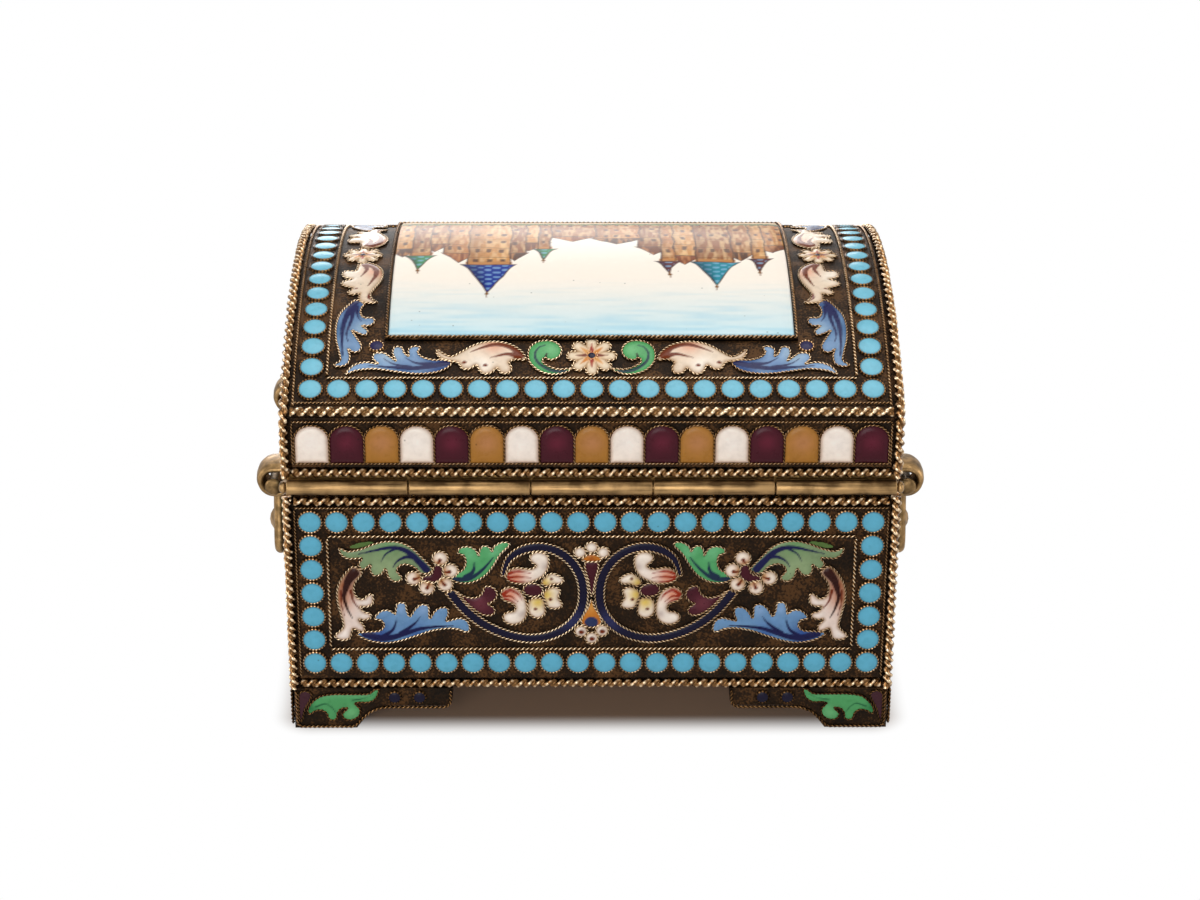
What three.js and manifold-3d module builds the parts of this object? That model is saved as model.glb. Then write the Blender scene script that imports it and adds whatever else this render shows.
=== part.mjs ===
// A small cloisonne casket: an enamelled sheet-metal box on four bracket feet, with a barrel-topped lid
// on a five-knuckle tube hinge, rope mouldings along every edge and a drop handle on each end.
// Millimetres, +Z up. The front faces -Y and the hinge is at +Y; left and right are as seen from the front.

import * as THREE from 'three';
import { mergeVertices } from 'three/addons/utils/BufferGeometryUtils.js';
import Module from 'manifold-3d';

const wasm = await Module();
wasm.setup();

// Case: the faces are the enamelled surfaces
const caseWidth = 78.6;
const caseDepth = 62.4;
const partingHeight = 35.65;
const partingGap = 0.2;
const sheetThickness = 0.9;
const fieldThickness = 1.0;
const baseThickness = 0.9;
const fitGap = 0.1;

// Lid: a straight band below, then an arc of the given rise over the whole depth
const bandHeight = 9.85;
const domeRise = 9.35;
const domeThickness = 1.1;

// Inner rim that the lid drops over
const rimClearance = 0.25;
const rimThickness = 0.8;
const rimDepth = 2.5;
const rimRise = 1.5;

// Rope mouldings, seated on the sheet beside the enamelled fields
const ropeDiameter = 1.4;
const ropeSeat = 0.2;
const ropeBend = 0.8;

// Tube hinge
const pinDiameter = 0.9;
const pinClearance = 0.15;
const knuckleWall = 0.4;
const knuckleCount = 5;
const knuckleGap = 0.2;
const hingeInset = 0.2;
const hingeToRope = 0.35;
const pinHeadDiameter = 1.6;
const pinHeadLength = 0.9;

// Bracket feet: an upright block at the corner and a wing along each wall
const footHeight = 6.0;
const footLength = 21.0;
const footBlockLength = 8.2;
const footWingHeight = 2.6;
const footCoveLength = 5.0;
const footCoveLead = 2.0;
const footWingRound = 1.4;
const footSeat = 0.6;

// Enamelled plaque on the dome, inside its wire bezel
const plaqueLength = 52.6;
const plaqueArc = 40.6;
const plaqueThickness = 0.6;
const bezelWidth = 0.7;
const bezelThickness = 0.9;

// Enamel in low relief: round beads bordering the walls, and arches along the lid's bands
const beadRadius = 1.3;
const beadTopRadius = 1.1;
const beadRise = 0.14;
const beadPitch = 3.5;
const beadSideMargin = 2.0;
const beadFootMargin = 2.45;
const beadHeadMargin = 2.05;
const archPitch = 4.46;
const archGap = 0.5;
const archRise = 0.1;
const archFootMargin = 0.6;
const archHeadMargin = 0.9;

// Thumbpiece at the front of the lid
const thumbWidth = 10.0;
const thumbReach = 3.0;
const thumbShoulder = 2.1;

// Drop handles: strap lugs and a bent wire with a swelling grip
const lugOffset = 13.25;
const lugHeight = 4.9;
const lugReach = 5.4;
const lugWidth = 4.7;
const strapThickness = 1.1;
const lugBelowRope = 1.8;
const wireDiameter = 1.5;
const wireSeat = 0.1;
const pinOverhang = 0.6;
const handleShoulder = 7.6;
const handleHip = 11.6;
const handleDrop = 12.2;
const handleBow = 0.5;
const shoulderBend = 2.2;
const hipBend = 3.0;
const gripDiameter = 4.8;
const gripLength = 7.2;

// Facets
const ropeSides = 8;
const tubeSides = 16;
const arcSteps = 24;
const bendSteps = 4;
const gripSteps = 8;
const beadSides = 8;
const archSteps = 2;

// Colours and finishes
const gilt = new THREE.MeshStandardMaterial({ color: '#a98555', roughness: 0.36, metalness: 1.0 });
const brightGilt = new THREE.MeshStandardMaterial({ color: '#c9a469', roughness: 0.28, metalness: 1.0 });
const enamelledSheet = new THREE.MeshStandardMaterial({ color: '#55707a', roughness: 0.4, metalness: 0.3 });
const plaqueEnamel = new THREE.MeshStandardMaterial({ color: '#dfe9e8', roughness: 0.15, metalness: 0.0 });

// Levels and faces worked out from the sizes above
const halfWidth = caseWidth / 2;
const halfDepth = caseDepth / 2;
const ropeRadius = ropeDiameter / 2;
const ropeOut = ropeSeat + ropeRadius - fieldThickness;
const wallThickness = fieldThickness + sheetThickness;
const boreRadius = pinDiameter / 2 + pinClearance;
const knuckleRadius = boreRadius + knuckleWall;
const hingeY = halfDepth - fieldThickness + fitGap + knuckleRadius;
const baseTop = footHeight + baseThickness;
const bodyTop = partingHeight - partingGap / 2;
const lidBottom = partingHeight + partingGap / 2;
const ropeBaseZ = footHeight + fitGap + ropeRadius;
const ropeMouthZ = partingHeight - knuckleRadius - hingeToRope - ropeRadius;
const ropeLidZ = partingHeight + knuckleRadius + hingeToRope + ropeRadius;
const springZ = partingHeight + bandHeight;
const ropeSpringZ = springZ + ropeRadius;
const domeRadius = (halfDepth ** 2 + domeRise ** 2) / (2 * domeRise);
const domeCentreZ = springZ + domeRise - domeRadius;

const arcHeight = (radius, y) => domeCentreZ + Math.sqrt(radius ** 2 - y ** 2);

function toSolid(geometry) {
  const bare = geometry.clone();
  bare.deleteAttribute('normal');
  bare.deleteAttribute('uv');
  const merged = mergeVertices(bare, 1e-4);
  const vertProperties = new Float32Array(merged.attributes.position.array);
  const triVerts = new Uint32Array(merged.index.array);
  return new wasm.Manifold(new wasm.Mesh({ numProp: 3, vertProperties, triVerts }));
}

function toGeometry(solid) {
  const { vertProperties, triVerts } = solid.getMesh();
  const geometry = new THREE.BufferGeometry();
  geometry.setAttribute('position', new THREE.BufferAttribute(new Float32Array(vertProperties), 3));
  geometry.setIndex(new THREE.BufferAttribute(new Uint32Array(triVerts), 1));
  geometry.computeVertexNormals();
  return geometry;
}

function join(...geometries) {
  return toGeometry(geometries.map(toSolid).reduce((all, next) => all.add(next)));
}

function cut(geometry, tool) {
  return toGeometry(toSolid(geometry).subtract(toSolid(tool)));
}

// A block between two opposite corners, given in any order
function block(a, b) {
  const size = a.map((value, i) => Math.abs(b[i] - value));
  const middle = a.map((value, i) => (value + b[i]) / 2);
  return new THREE.BoxGeometry(...size).translate(...middle);
}

// An outline in the Y-Z plane carried along X from x0 to x1
function alongX(outline, x0, x1) {
  const [low, high] = [Math.min(x0, x1), Math.max(x0, x1)];
  const options = { depth: high - low, bevelEnabled: false, curveSegments: arcSteps / 2 };
  const geometry = new THREE.ExtrudeGeometry(outline, options);
  const axes = new THREE.Matrix4().set(0, 0, 1, low, 1, 0, 0, 0, 0, 1, 0, 0, 0, 0, 0, 1);
  return geometry.applyMatrix4(axes);
}

// A round bar along a path of points, bends and all
function barAlong(points, radius, sides) {
  const section = new THREE.Shape();
  section.absarc(0, 0, radius, 0, 2 * Math.PI);
  const extrudePath = new PointPath(points);
  const options = { steps: points.length - 1, extrudePath, bevelEnabled: false, curveSegments: sides / 2 };
  return new THREE.ExtrudeGeometry(section, options);
}

// Straight runs between corner points, each corner rounded off by a bend of its own length
function roundedPath(corners, bends) {
  const points = [corners[0].clone()];
  for (let i = 1; i < corners.length - 1; i += 1) {
    const before = corners[i - 1].clone().sub(corners[i]).normalize().multiplyScalar(bends[i - 1]);
    const after = corners[i + 1].clone().sub(corners[i]).normalize().multiplyScalar(bends[i - 1]);
    const bend = new THREE.QuadraticBezierCurve3(
      corners[i].clone().add(before), corners[i], corners[i].clone().add(after));
    points.push(...bend.getPoints(bendSteps));
  }
  points.push(corners.at(-1).clone());
  return points;
}

// A path through every given point, mitred at each one
class PointPath extends THREE.Curve {
  constructor(points) {
    super();
    this.points = points;
    this.steps = points.length - 1;
  }

  getPointAt(u, target = new THREE.Vector3()) {
    return target.copy(this.points[Math.round(u * this.steps)]);
  }

  getTangentAt(u, target = new THREE.Vector3()) {
    const i = Math.round(u * this.steps);
    const run = (k) => this.points[k].clone().sub(this.points[k - 1]).normalize();
    return target.copy(run(Math.max(i, 1))).add(run(Math.min(i + 1, this.steps))).normalize();
  }
}

// A band of the dome between two radii, out to the given half depth
function domeBand(outer, inner, reach) {
  const outline = new THREE.Shape();
  const outerAngle = Math.asin(reach / outer);
  const innerAngle = Math.asin(reach / inner);
  outline.absarc(0, domeCentreZ, outer, Math.PI / 2 - outerAngle, Math.PI / 2 + outerAngle, false);
  outline.absarc(0, domeCentreZ, inner, Math.PI / 2 + innerAngle, Math.PI / 2 - innerAngle, true);
  return outline;
}

// The outline of a lid end under an arc of the given radius
function underArc(radius, reach, bottom) {
  const outline = new THREE.Shape();
  const angle = Math.asin(reach / radius);
  outline.moveTo(-reach, bottom);
  outline.lineTo(reach, bottom);
  outline.absarc(0, domeCentreZ, radius, Math.PI / 2 - angle, Math.PI / 2 + angle, false);
  return outline;
}

const casket = new THREE.Group();

function piece(parent, name, geometry, material) {
  const mesh = new THREE.Mesh(geometry, material);
  mesh.name = name;
  parent.add(mesh);
  return mesh;
}

// Places from one end to the other, evenly apart and as near to the pitch as they come
function spread(from, to, pitch) {
  const gaps = Math.max(1, Math.round((to - from) / pitch));
  return Array.from({ length: gaps + 1 }, (_, i) => from + (to - from) * i / gaps);
}

// Places round the edge of a panel: whole rows at its foot and head, single ones up its sides
function borderSpots(across, up) {
  const rows = [up[0], up.at(-1)].flatMap((v) => across.map((u) => [u, v]));
  const sides = [across[0], across.at(-1)].flatMap((u) => up.slice(1, -1).map((v) => [u, v]));
  return [...rows, ...sides];
}

// One bead standing on the X-Y plane and rooted below it
const reliefRoot = fieldThickness / 2;
function bead() {
  const height = reliefRoot + beadRise;
  const cone = new THREE.CylinderGeometry(beadTopRadius, beadRadius, height, beadSides);
  return cone.rotateX(Math.PI / 2).translate(0, 0, beadRise - height / 2);
}

// Moves a relief drawn on the X-Y plane onto the wall that faces outward at the given distance
function onWall(relief, outward, distance) {
  const up = new THREE.Vector3(0, 0, 1);
  const across = up.clone().cross(outward);
  const axes = new THREE.Matrix4().makeBasis(across, up, outward);
  return relief.applyMatrix4(axes.setPosition(outward.clone().multiplyScalar(distance)));
}

// Base plate
const sheetX = halfWidth - fieldThickness;
const sheetY = halfDepth - fieldThickness;
const innerX = halfWidth - wallThickness;
const innerY = halfDepth - wallThickness;
piece(casket, 'base_plate', block([-sheetX, -sheetY, footHeight], [sheetX, sheetY, baseTop]), gilt);

// Body walls: a sheet, the enamelled field on it and a plain strip round the mouth, which the hinge
// takes the place of at the back
const fieldBottom = ropeBaseZ + ropeRadius + fitGap;
const fieldTop = ropeMouthZ - ropeRadius - fitGap;
const stripBottom = ropeMouthZ + ropeRadius + fitGap;
const beadRows = spread(fieldBottom + beadFootMargin, fieldTop - beadHeadMargin, beadPitch);
function beadBorder(reach) {
  return borderSpots(spread(beadSideMargin - reach, reach - beadSideMargin, beadPitch), beadRows);
}
for (const [name, side] of [['front_wall', -1], ['back_wall', 1]]) {
  const layers = [
    block([-sheetX, side * innerY, baseTop], [sheetX, side * sheetY, bodyTop]),
    block([-sheetX, side * sheetY, fieldBottom], [sheetX, side * halfDepth, fieldTop]),
  ];
  if (side < 0) {
    layers.push(block([-sheetX, side * sheetY, stripBottom], [sheetX, side * halfDepth, bodyTop]));
  }
  const outward = new THREE.Vector3(0, side, 0);
  const beads = beadBorder(sheetX).map(([u, v]) => onWall(bead().translate(u, v, 0), outward, halfDepth));
  piece(casket, name, join(...layers, ...beads), enamelledSheet);
}
const lugClear = lugWidth / 2 + beadRadius + fitGap;
const besideLugs = ([u, v]) => v < beadRows.at(-1) || Math.abs(Math.abs(u) - lugOffset) > lugClear;
for (const [name, side] of [['left_wall', -1], ['right_wall', 1]]) {
  const layers = [
    block([side * innerX, -innerY, baseTop], [side * sheetX, innerY, bodyTop]),
    block([side * sheetX, -sheetY, fieldBottom], [side * halfWidth, sheetY, fieldTop]),
    block([side * sheetX, -sheetY, stripBottom], [side * halfWidth, sheetY, bodyTop]),
  ];
  const outward = new THREE.Vector3(side, 0, 0);
  const beads = beadBorder(sheetY).filter(besideLugs)
    .map(([u, v]) => onWall(bead().translate(u, v, 0), outward, halfWidth));
  piece(casket, name, join(...layers, ...beads), enamelledSheet);
}

// Inner rim inside the mouth
const rimX = innerX - rimClearance;
const rimY = innerY - rimClearance;
const rimBottom = partingHeight - rimDepth;
const rimTop = partingHeight + rimRise;
const rimBlock = block([-rimX, -rimY, rimBottom], [rimX, rimY, rimTop]);
const rimMouth = block(
  [rimThickness - rimX, rimThickness - rimY, rimBottom - fitGap],
  [rimX - rimThickness, rimY - rimThickness, rimTop + fitGap]);
piece(casket, 'inner_rim', cut(rimBlock, rimMouth), brightGilt);

// Rope mouldings: plain round bars here, straight along the walls and upright on the corners
function straightRope(parent, name, from, to) {
  const ends = [new THREE.Vector3(...from), new THREE.Vector3(...to)];
  piece(parent, name, barAlong(ends, ropeRadius, ropeSides), gilt);
}
const ropeX = halfWidth + ropeOut;
const ropeY = halfDepth + ropeOut;
function ropeRound(prefix, z) {
  straightRope(casket, `${prefix}_front`, [-sheetX, -ropeY, z], [sheetX, -ropeY, z]);
  straightRope(casket, `${prefix}_back`, [-sheetX, ropeY, z], [sheetX, ropeY, z]);
  straightRope(casket, `${prefix}_left`, [-ropeX, -sheetY, z], [-ropeX, sheetY, z]);
  straightRope(casket, `${prefix}_right`, [ropeX, -sheetY, z], [ropeX, sheetY, z]);
}
ropeRound('base_rope', ropeBaseZ);
ropeRound('mouth_rope', ropeMouthZ);
ropeRound('lid_rope', ropeLidZ);
for (const [endName, x] of [['left', -ropeX], ['right', ropeX]]) {
  for (const [sideName, y] of [['front', -ropeY], ['back', ropeY]]) {
    const low = [x, y, footHeight + fitGap];
    const high = [x, y, ropeMouthZ + ropeRadius];
    straightRope(casket, `corner_rope_${sideName}_${endName}`, low, high);
  }
}
straightRope(casket, 'spring_rope_front', [-sheetX, -ropeY, ropeSpringZ], [sheetX, -ropeY, ropeSpringZ]);
straightRope(casket, 'spring_rope_back', [-sheetX, ropeY, ropeSpringZ], [sheetX, ropeY, ropeSpringZ]);

// End ropes of the lid: up the corner, over the dome and down again
const archRadius = domeRadius + ropeOut;
const archAngle = Math.asin(ropeY / archRadius);
const bendAngle = ropeBend / archRadius;
for (const [name, x] of [['arch_rope_left', -ropeX], ['arch_rope_right', ropeX]]) {
  const point = (y, z) => new THREE.Vector3(x, y, z);
  const onArch = (angle) => point(archRadius * Math.sin(angle), domeCentreZ + archRadius * Math.cos(angle));
  const footZ = ropeLidZ - ropeRadius;
  const cornerZ = arcHeight(archRadius, ropeY);
  const bend = (side) => new THREE.QuadraticBezierCurve3(
    point(side * ropeY, cornerZ - ropeBend), point(side * ropeY, cornerZ),
    onArch(side * (archAngle - bendAngle)));
  const arch = [];
  for (let i = 1; i < arcSteps; i += 1) {
    arch.push(onArch((archAngle - bendAngle) * (2 * i / arcSteps - 1)));
  }
  const points = [
    point(-ropeY, footZ), ...bend(-1).getPoints(bendSteps), ...arch,
    ...bend(1).getPoints(bendSteps).reverse(), point(ropeY, footZ),
  ];
  piece(casket, name, barAlong(points, ropeRadius, ropeSides), gilt);
}

// Bracket feet: two legs of one outline, along each wall from the corner
const footThickness = fieldThickness + footSeat;
function footLeg() {
  const outline = new THREE.Shape();
  const wingBottom = footHeight - footWingHeight;
  outline.moveTo(0, 0);
  outline.lineTo(footBlockLength, 0);
  outline.quadraticCurveTo(
    footBlockLength + footCoveLead, wingBottom, footBlockLength + footCoveLength, wingBottom);
  outline.lineTo(footLength - footWingRound, wingBottom);
  outline.quadraticCurveTo(footLength, wingBottom, footLength, wingBottom + footWingRound);
  outline.lineTo(footLength, footHeight);
  outline.lineTo(0, footHeight);
  const options = { depth: footThickness, bevelEnabled: false, curveSegments: bendSteps };
  return new THREE.ExtrudeGeometry(outline, options);
}
for (const [sideName, sideY] of [['front', -1], ['back', 1]]) {
  for (const [endName, sideX] of [['left', -1], ['right', 1]]) {
    const [x, y] = [sideX * halfWidth, sideY * halfDepth];
    const inX = sideX < 0 ? 0 : -footThickness;
    const inY = sideY < 0 ? 0 : -footThickness;
    const legX = new THREE.Matrix4().set(-sideX, 0, 0, x, 0, 0, 1, y + inY, 0, 1, 0, 0, 0, 0, 0, 1);
    const legY = new THREE.Matrix4().set(0, 0, 1, x + inX, -sideY, 0, 0, y, 0, 1, 0, 0, 0, 0, 0, 1);
    const legs = [legX, legY].map((place) => {
      const leg = footLeg().applyMatrix4(place);
      return place.determinant() < 0 ? turnFaces(leg) : leg;
    });
    piece(casket, `foot_${sideName}_${endName}`, join(...legs), gilt);
  }
}

// A mirrored shape has its faces turned back outwards
function turnFaces(geometry) {
  const { position } = geometry.attributes;
  const order = Array.from({ length: position.count }, (_, i) => i - (i % 3) + (2 - (i % 3)));
  geometry.setIndex(order);
  return geometry;
}

// Lid walls
const domeInner = domeRadius - domeThickness;
const lidStripTop = ropeLidZ - ropeRadius - fitGap;
const bandBottom = ropeLidZ + ropeRadius + fitGap;
const bandTop = ropeSpringZ - ropeRadius - fitGap;
const sheetTop = arcHeight(domeInner, sheetY) - fitGap;
const bendCut = ropeBend / 4;
function archPad() {
  const half = (archPitch - archGap) / 2;
  const outline = new THREE.Shape();
  outline.moveTo(-half, bandBottom + archFootMargin);
  outline.lineTo(half, bandBottom + archFootMargin);
  outline.absarc(0, bandTop - archHeadMargin - half, half, 0, Math.PI, false);
  const options = { depth: reliefRoot + archRise, bevelEnabled: false, curveSegments: archSteps };
  return new THREE.ExtrudeGeometry(outline, options).translate(0, 0, -reliefRoot);
}
function archRow(reach, outward, distance) {
  const count = Math.floor(2 * reach / archPitch);
  const pads = Array.from({ length: count }, (_, i) => (
    archPad().translate((i - (count - 1) / 2) * archPitch, 0, 0)));
  return pads.map((pad) => onWall(pad, outward, distance));
}
for (const [name, side] of [['lid_front_wall', -1], ['lid_back_wall', 1]]) {
  const layers = [
    block([-sheetX, side * innerY, lidBottom], [sheetX, side * sheetY, sheetTop]),
    block([-sheetX, side * sheetY, bandBottom], [sheetX, side * halfDepth, bandTop]),
  ];
  if (side < 0) {
    layers.push(block([-sheetX, side * sheetY, lidBottom], [sheetX, side * halfDepth, lidStripTop]));
  }
  const arches = archRow(sheetX, new THREE.Vector3(0, side, 0), halfDepth);
  piece(casket, name, join(...layers, ...arches), enamelledSheet);
}
const endField = underArc(domeRadius - fieldThickness - bendCut, sheetY - bendCut, bandBottom);
for (const [name, side] of [['lid_left_wall', -1], ['lid_right_wall', 1]]) {
  const layers = [
    alongX(underArc(domeInner - fitGap, innerY, lidBottom), side * innerX, side * sheetX),
    alongX(endField, side * sheetX, side * halfWidth),
    block([side * sheetX, -sheetY, lidBottom], [side * halfWidth, sheetY, lidStripTop]),
  ];
  const arches = archRow(sheetY - bendCut, new THREE.Vector3(side, 0, 0), halfWidth);
  piece(casket, name, join(...layers, ...arches), enamelledSheet);
}

// Dome plate, plaque and bezel
const domeSheet = alongX(domeBand(domeRadius, domeInner, sheetY), -sheetX, sheetX);
piece(casket, 'dome_plate', domeSheet, enamelledSheet);
const seatRadius = domeRadius + fitGap;
const plaqueReach = (arc, radius) => radius * Math.sin(arc / 2 / domeRadius);
function arcPad(arc, length, thickness) {
  const outer = seatRadius + thickness;
  return alongX(domeBand(outer, seatRadius, plaqueReach(arc, seatRadius)), -length / 2, length / 2);
}
piece(casket, 'plaque', arcPad(plaqueArc, plaqueLength, plaqueThickness), plaqueEnamel);
const bezelMargin = 2 * (bezelWidth + fitGap);
const bezelPad = arcPad(plaqueArc + bezelMargin, plaqueLength + bezelMargin, bezelThickness);
const bezelWindow = alongX(
  domeBand(domeRadius + 2 * bezelThickness, domeRadius - bezelThickness,
    plaqueReach(plaqueArc, seatRadius) + fitGap),
  -plaqueLength / 2 - fitGap, plaqueLength / 2 + fitGap);
piece(casket, 'plaque_bezel', cut(bezelPad, bezelWindow), gilt);

// Tube hinge: knuckles 1, 3 and 5 on the body, 2 and 4 on the lid, all on one pin
const hingeLength = caseWidth - 2 * hingeInset;
const knuckleLength = (hingeLength - (knuckleCount - 1) * knuckleGap) / knuckleCount;
for (let i = 0; i < knuckleCount; i += 1) {
  const ring = new THREE.Shape();
  ring.absarc(hingeY, partingHeight, knuckleRadius, 0, 2 * Math.PI);
  const bore = new THREE.Path();
  bore.absarc(hingeY, partingHeight, boreRadius, 0, 2 * Math.PI, true);
  ring.holes.push(bore);
  const start = -hingeLength / 2 + i * (knuckleLength + knuckleGap);
  const geometry = new THREE.ExtrudeGeometry(ring, {
    depth: knuckleLength, bevelEnabled: false, curveSegments: tubeSides / 2,
  });
  const axes = new THREE.Matrix4().set(0, 0, 1, start, 1, 0, 0, 0, 0, 1, 0, 0, 0, 0, 0, 1);
  piece(casket, `hinge_knuckle_${i + 1}`, geometry.applyMatrix4(axes), brightGilt);
}
const pinHalf = hingeLength / 2 + fitGap;
const pinProfile = [
  [0, -pinHalf - pinHeadLength], [pinHeadDiameter / 2 - fitGap, -pinHalf - pinHeadLength],
  [pinHeadDiameter / 2, -pinHalf], [pinDiameter / 2, -pinHalf],
  [pinDiameter / 2, pinHalf], [pinHeadDiameter / 2, pinHalf],
  [pinHeadDiameter / 2 - fitGap, pinHalf + pinHeadLength], [0, pinHalf + pinHeadLength],
].map(([r, h]) => new THREE.Vector2(r, h));
const hingePin = piece(casket, 'hinge_pin', new THREE.LatheGeometry(pinProfile, tubeSides), gilt);
hingePin.rotation.z = -Math.PI / 2;
hingePin.position.set(0, hingeY, partingHeight);

// Thumbpiece: a rounded tab on the plain strip of the lid
const thumb = new THREE.Shape();
thumb.moveTo(-thumbWidth / 2, 0);
thumb.bezierCurveTo(
  -thumbWidth / 2, -thumbShoulder, -thumbWidth / 4, -thumbReach, 0, -thumbReach);
thumb.bezierCurveTo(thumbWidth / 4, -thumbReach, thumbWidth / 2, -thumbShoulder, thumbWidth / 2, 0);
const thumbThickness = lidStripTop - lidBottom - 2 * fitGap;
const thumbpiece = piece(casket, 'thumbpiece', new THREE.ExtrudeGeometry(thumb, {
  depth: thumbThickness, bevelEnabled: false, curveSegments: bendSteps,
}), brightGilt);
thumbpiece.position.set(0, -halfDepth - fitGap, lidBottom + fitGap);

// Drop handles: the same fittings on both ends, turned round for the left
const wireRadius = wireDiameter / 2;
const loopHeight = lugHeight - 2 * strapThickness;
const lugCentreHeight = ropeMouthZ - ropeRadius - lugBelowRope - lugHeight / 2;
const pivotOut = lugReach - strapThickness - loopHeight / 2;
const pivotZ = lugCentreHeight - loopHeight / 2 + wireSeat + wireRadius;
function lugOutline(inset) {
  const round = lugHeight / 2 - inset;
  const outline = new THREE.Shape();
  outline.moveTo(inset, -round);
  outline.lineTo(lugReach - inset - round, -round);
  outline.absarc(lugReach - inset - round, 0, round, -Math.PI / 2, Math.PI / 2, false);
  outline.lineTo(inset, round);
  return outline;
}
for (const [endName, turn] of [['right', 0], ['left', Math.PI]]) {
  const end = new THREE.Group();
  end.rotation.z = turn;
  casket.add(end);

  for (const [sideName, side] of [['front', -1], ['back', 1]]) {
    const strap = lugOutline(0);
    strap.holes.push(new THREE.Path(lugOutline(strapThickness).getPoints(bendSteps).reverse()));
    const geometry = new THREE.ExtrudeGeometry(strap, {
      depth: lugWidth, bevelEnabled: false, curveSegments: bendSteps,
    });
    const place = turn ? -side : side;
    const axes = new THREE.Matrix4().set(
      1, 0, 0, halfWidth + fitGap, 0, 0, -1, place * lugOffset + lugWidth / 2,
      0, 1, 0, lugCentreHeight, 0, 0, 0, 1);
    piece(end, `lug_${sideName}_${endName}`, geometry.applyMatrix4(axes), brightGilt);
  }

  const pivotX = halfWidth + fitGap + pivotOut;
  const pinEnd = lugOffset + lugWidth / 2 + pinOverhang;
  const corner = (y, z) => new THREE.Vector3(pivotX, y, z);
  const low = pivotZ - handleDrop;
  const half = [corner(pinEnd, pivotZ), corner(handleShoulder, pivotZ), corner(handleHip, low)];
  const mirrored = half.map(({ y, z }) => corner(-y, z)).reverse();
  const middle = corner(0, low - handleBow);
  const bends = [shoulderBend, hipBend, handleHip / 2, hipBend, shoulderBend];
  const wirePoints = roundedPath([...half, middle, ...mirrored], bends);
  const wire = barAlong(wirePoints, wireRadius, ropeSides);
  const barMiddle = wirePoints[(wirePoints.length - 1) / 2];
  const gripPoints = new THREE.SplineCurve([
    new THREE.Vector2(wireRadius, -gripLength / 2),
    new THREE.Vector2((wireRadius + gripDiameter / 2) / 2, -gripLength / 4),
    new THREE.Vector2(gripDiameter / 2, 0),
    new THREE.Vector2((wireRadius + gripDiameter / 2) / 2, gripLength / 4),
    new THREE.Vector2(wireRadius, gripLength / 2),
  ]).getPoints(gripSteps);
  const onAxis = (y) => new THREE.Vector2(0, y);
  const gripProfile = [onAxis(-gripLength / 2), ...gripPoints, onAxis(gripLength / 2)];
  const grip = new THREE.LatheGeometry(gripProfile, tubeSides).translate(barMiddle.x, 0, barMiddle.z);
  piece(end, `handle_${endName}`, join(wire, grip), brightGilt);
}

// The origin lies under the middle of the whole outline, hinge and thumbpiece included
const frontReach = halfDepth + fitGap + thumbReach;
const backReach = hingeY + knuckleRadius;
casket.position.y = (frontReach - backReach) / 2;

export default casket;
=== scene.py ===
import math

import bpy
import numpy as np
from mathutils import Matrix, Vector


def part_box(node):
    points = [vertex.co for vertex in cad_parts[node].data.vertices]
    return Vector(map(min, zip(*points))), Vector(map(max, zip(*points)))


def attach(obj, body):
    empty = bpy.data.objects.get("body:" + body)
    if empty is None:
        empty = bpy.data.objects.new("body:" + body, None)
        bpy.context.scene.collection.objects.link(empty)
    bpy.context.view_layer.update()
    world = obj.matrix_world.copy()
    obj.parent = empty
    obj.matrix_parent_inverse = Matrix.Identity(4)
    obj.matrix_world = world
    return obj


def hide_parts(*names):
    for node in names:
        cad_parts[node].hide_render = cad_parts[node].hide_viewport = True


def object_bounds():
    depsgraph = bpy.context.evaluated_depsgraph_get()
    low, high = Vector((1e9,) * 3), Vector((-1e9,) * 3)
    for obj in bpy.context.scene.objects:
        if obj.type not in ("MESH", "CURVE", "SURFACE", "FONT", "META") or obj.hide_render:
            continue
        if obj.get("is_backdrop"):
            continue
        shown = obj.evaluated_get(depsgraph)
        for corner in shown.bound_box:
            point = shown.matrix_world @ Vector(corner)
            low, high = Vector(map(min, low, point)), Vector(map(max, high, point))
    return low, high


# A cloisonne casket: twisted-wire cells of fired enamel on an oxidised silver-gilt box.
# Shapes are worked out in millimetres and put into the meshes in metres. Panels are drawn flat,
# with u to the viewer's right, v up and h out of the face.
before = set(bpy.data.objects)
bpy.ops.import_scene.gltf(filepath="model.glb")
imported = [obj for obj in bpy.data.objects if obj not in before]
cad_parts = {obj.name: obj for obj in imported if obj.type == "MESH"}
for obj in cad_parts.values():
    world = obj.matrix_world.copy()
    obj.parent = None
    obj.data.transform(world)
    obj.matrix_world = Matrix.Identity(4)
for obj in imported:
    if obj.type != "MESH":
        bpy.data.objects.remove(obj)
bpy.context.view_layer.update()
scene = bpy.context.scene
metre = 1000.0
rng = np.random.default_rng(7)
bothWays = (-1, 1)


def nodeBox(name):
    return [np.array(corner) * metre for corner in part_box(name)]


# Faces of the case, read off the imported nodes
backY, frontY = nodeBox("back_wall")[1][1], nodeBox("front_wall")[0][1]
midY, halfDepth = (backY + frontY) / 2, (backY - frontY) / 2
endX = nodeBox("right_wall")[1][0]
crestZ = nodeBox("dome_plate")[1][2]
domeRise = crestZ - nodeBox("spring_rope_back")[0][2]
domeRadius = (halfDepth ** 2 + domeRise ** 2) / (2 * domeRise)
domeCentreZ = crestZ - domeRadius


# A surface takes a panel's points to the object's frame
def wallFace(x, y, right, out):
    axes = np.array([right, (0, 0, 1), out])
    return lambda points: points @ axes + (x, y, 0)


def onDome(points):
    # v is the arc length from the crest, positive towards the front
    u, v, h = points.T
    turn, radius = v / domeRadius, domeRadius + h
    return np.stack([-u, midY - radius * np.sin(turn), domeCentreZ + radius * np.cos(turn)], -1)


onBack = wallFace(0, backY, (-1, 0, 0), (0, 1, 0))
onFront = wallFace(0, frontY, (1, 0, 0), (0, -1, 0))
onRight = wallFace(endX, midY, (0, 1, 0), (1, 0, 0))
onLeft = wallFace(-endX, midY, (0, -1, 0), (-1, 0, 0))

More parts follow.
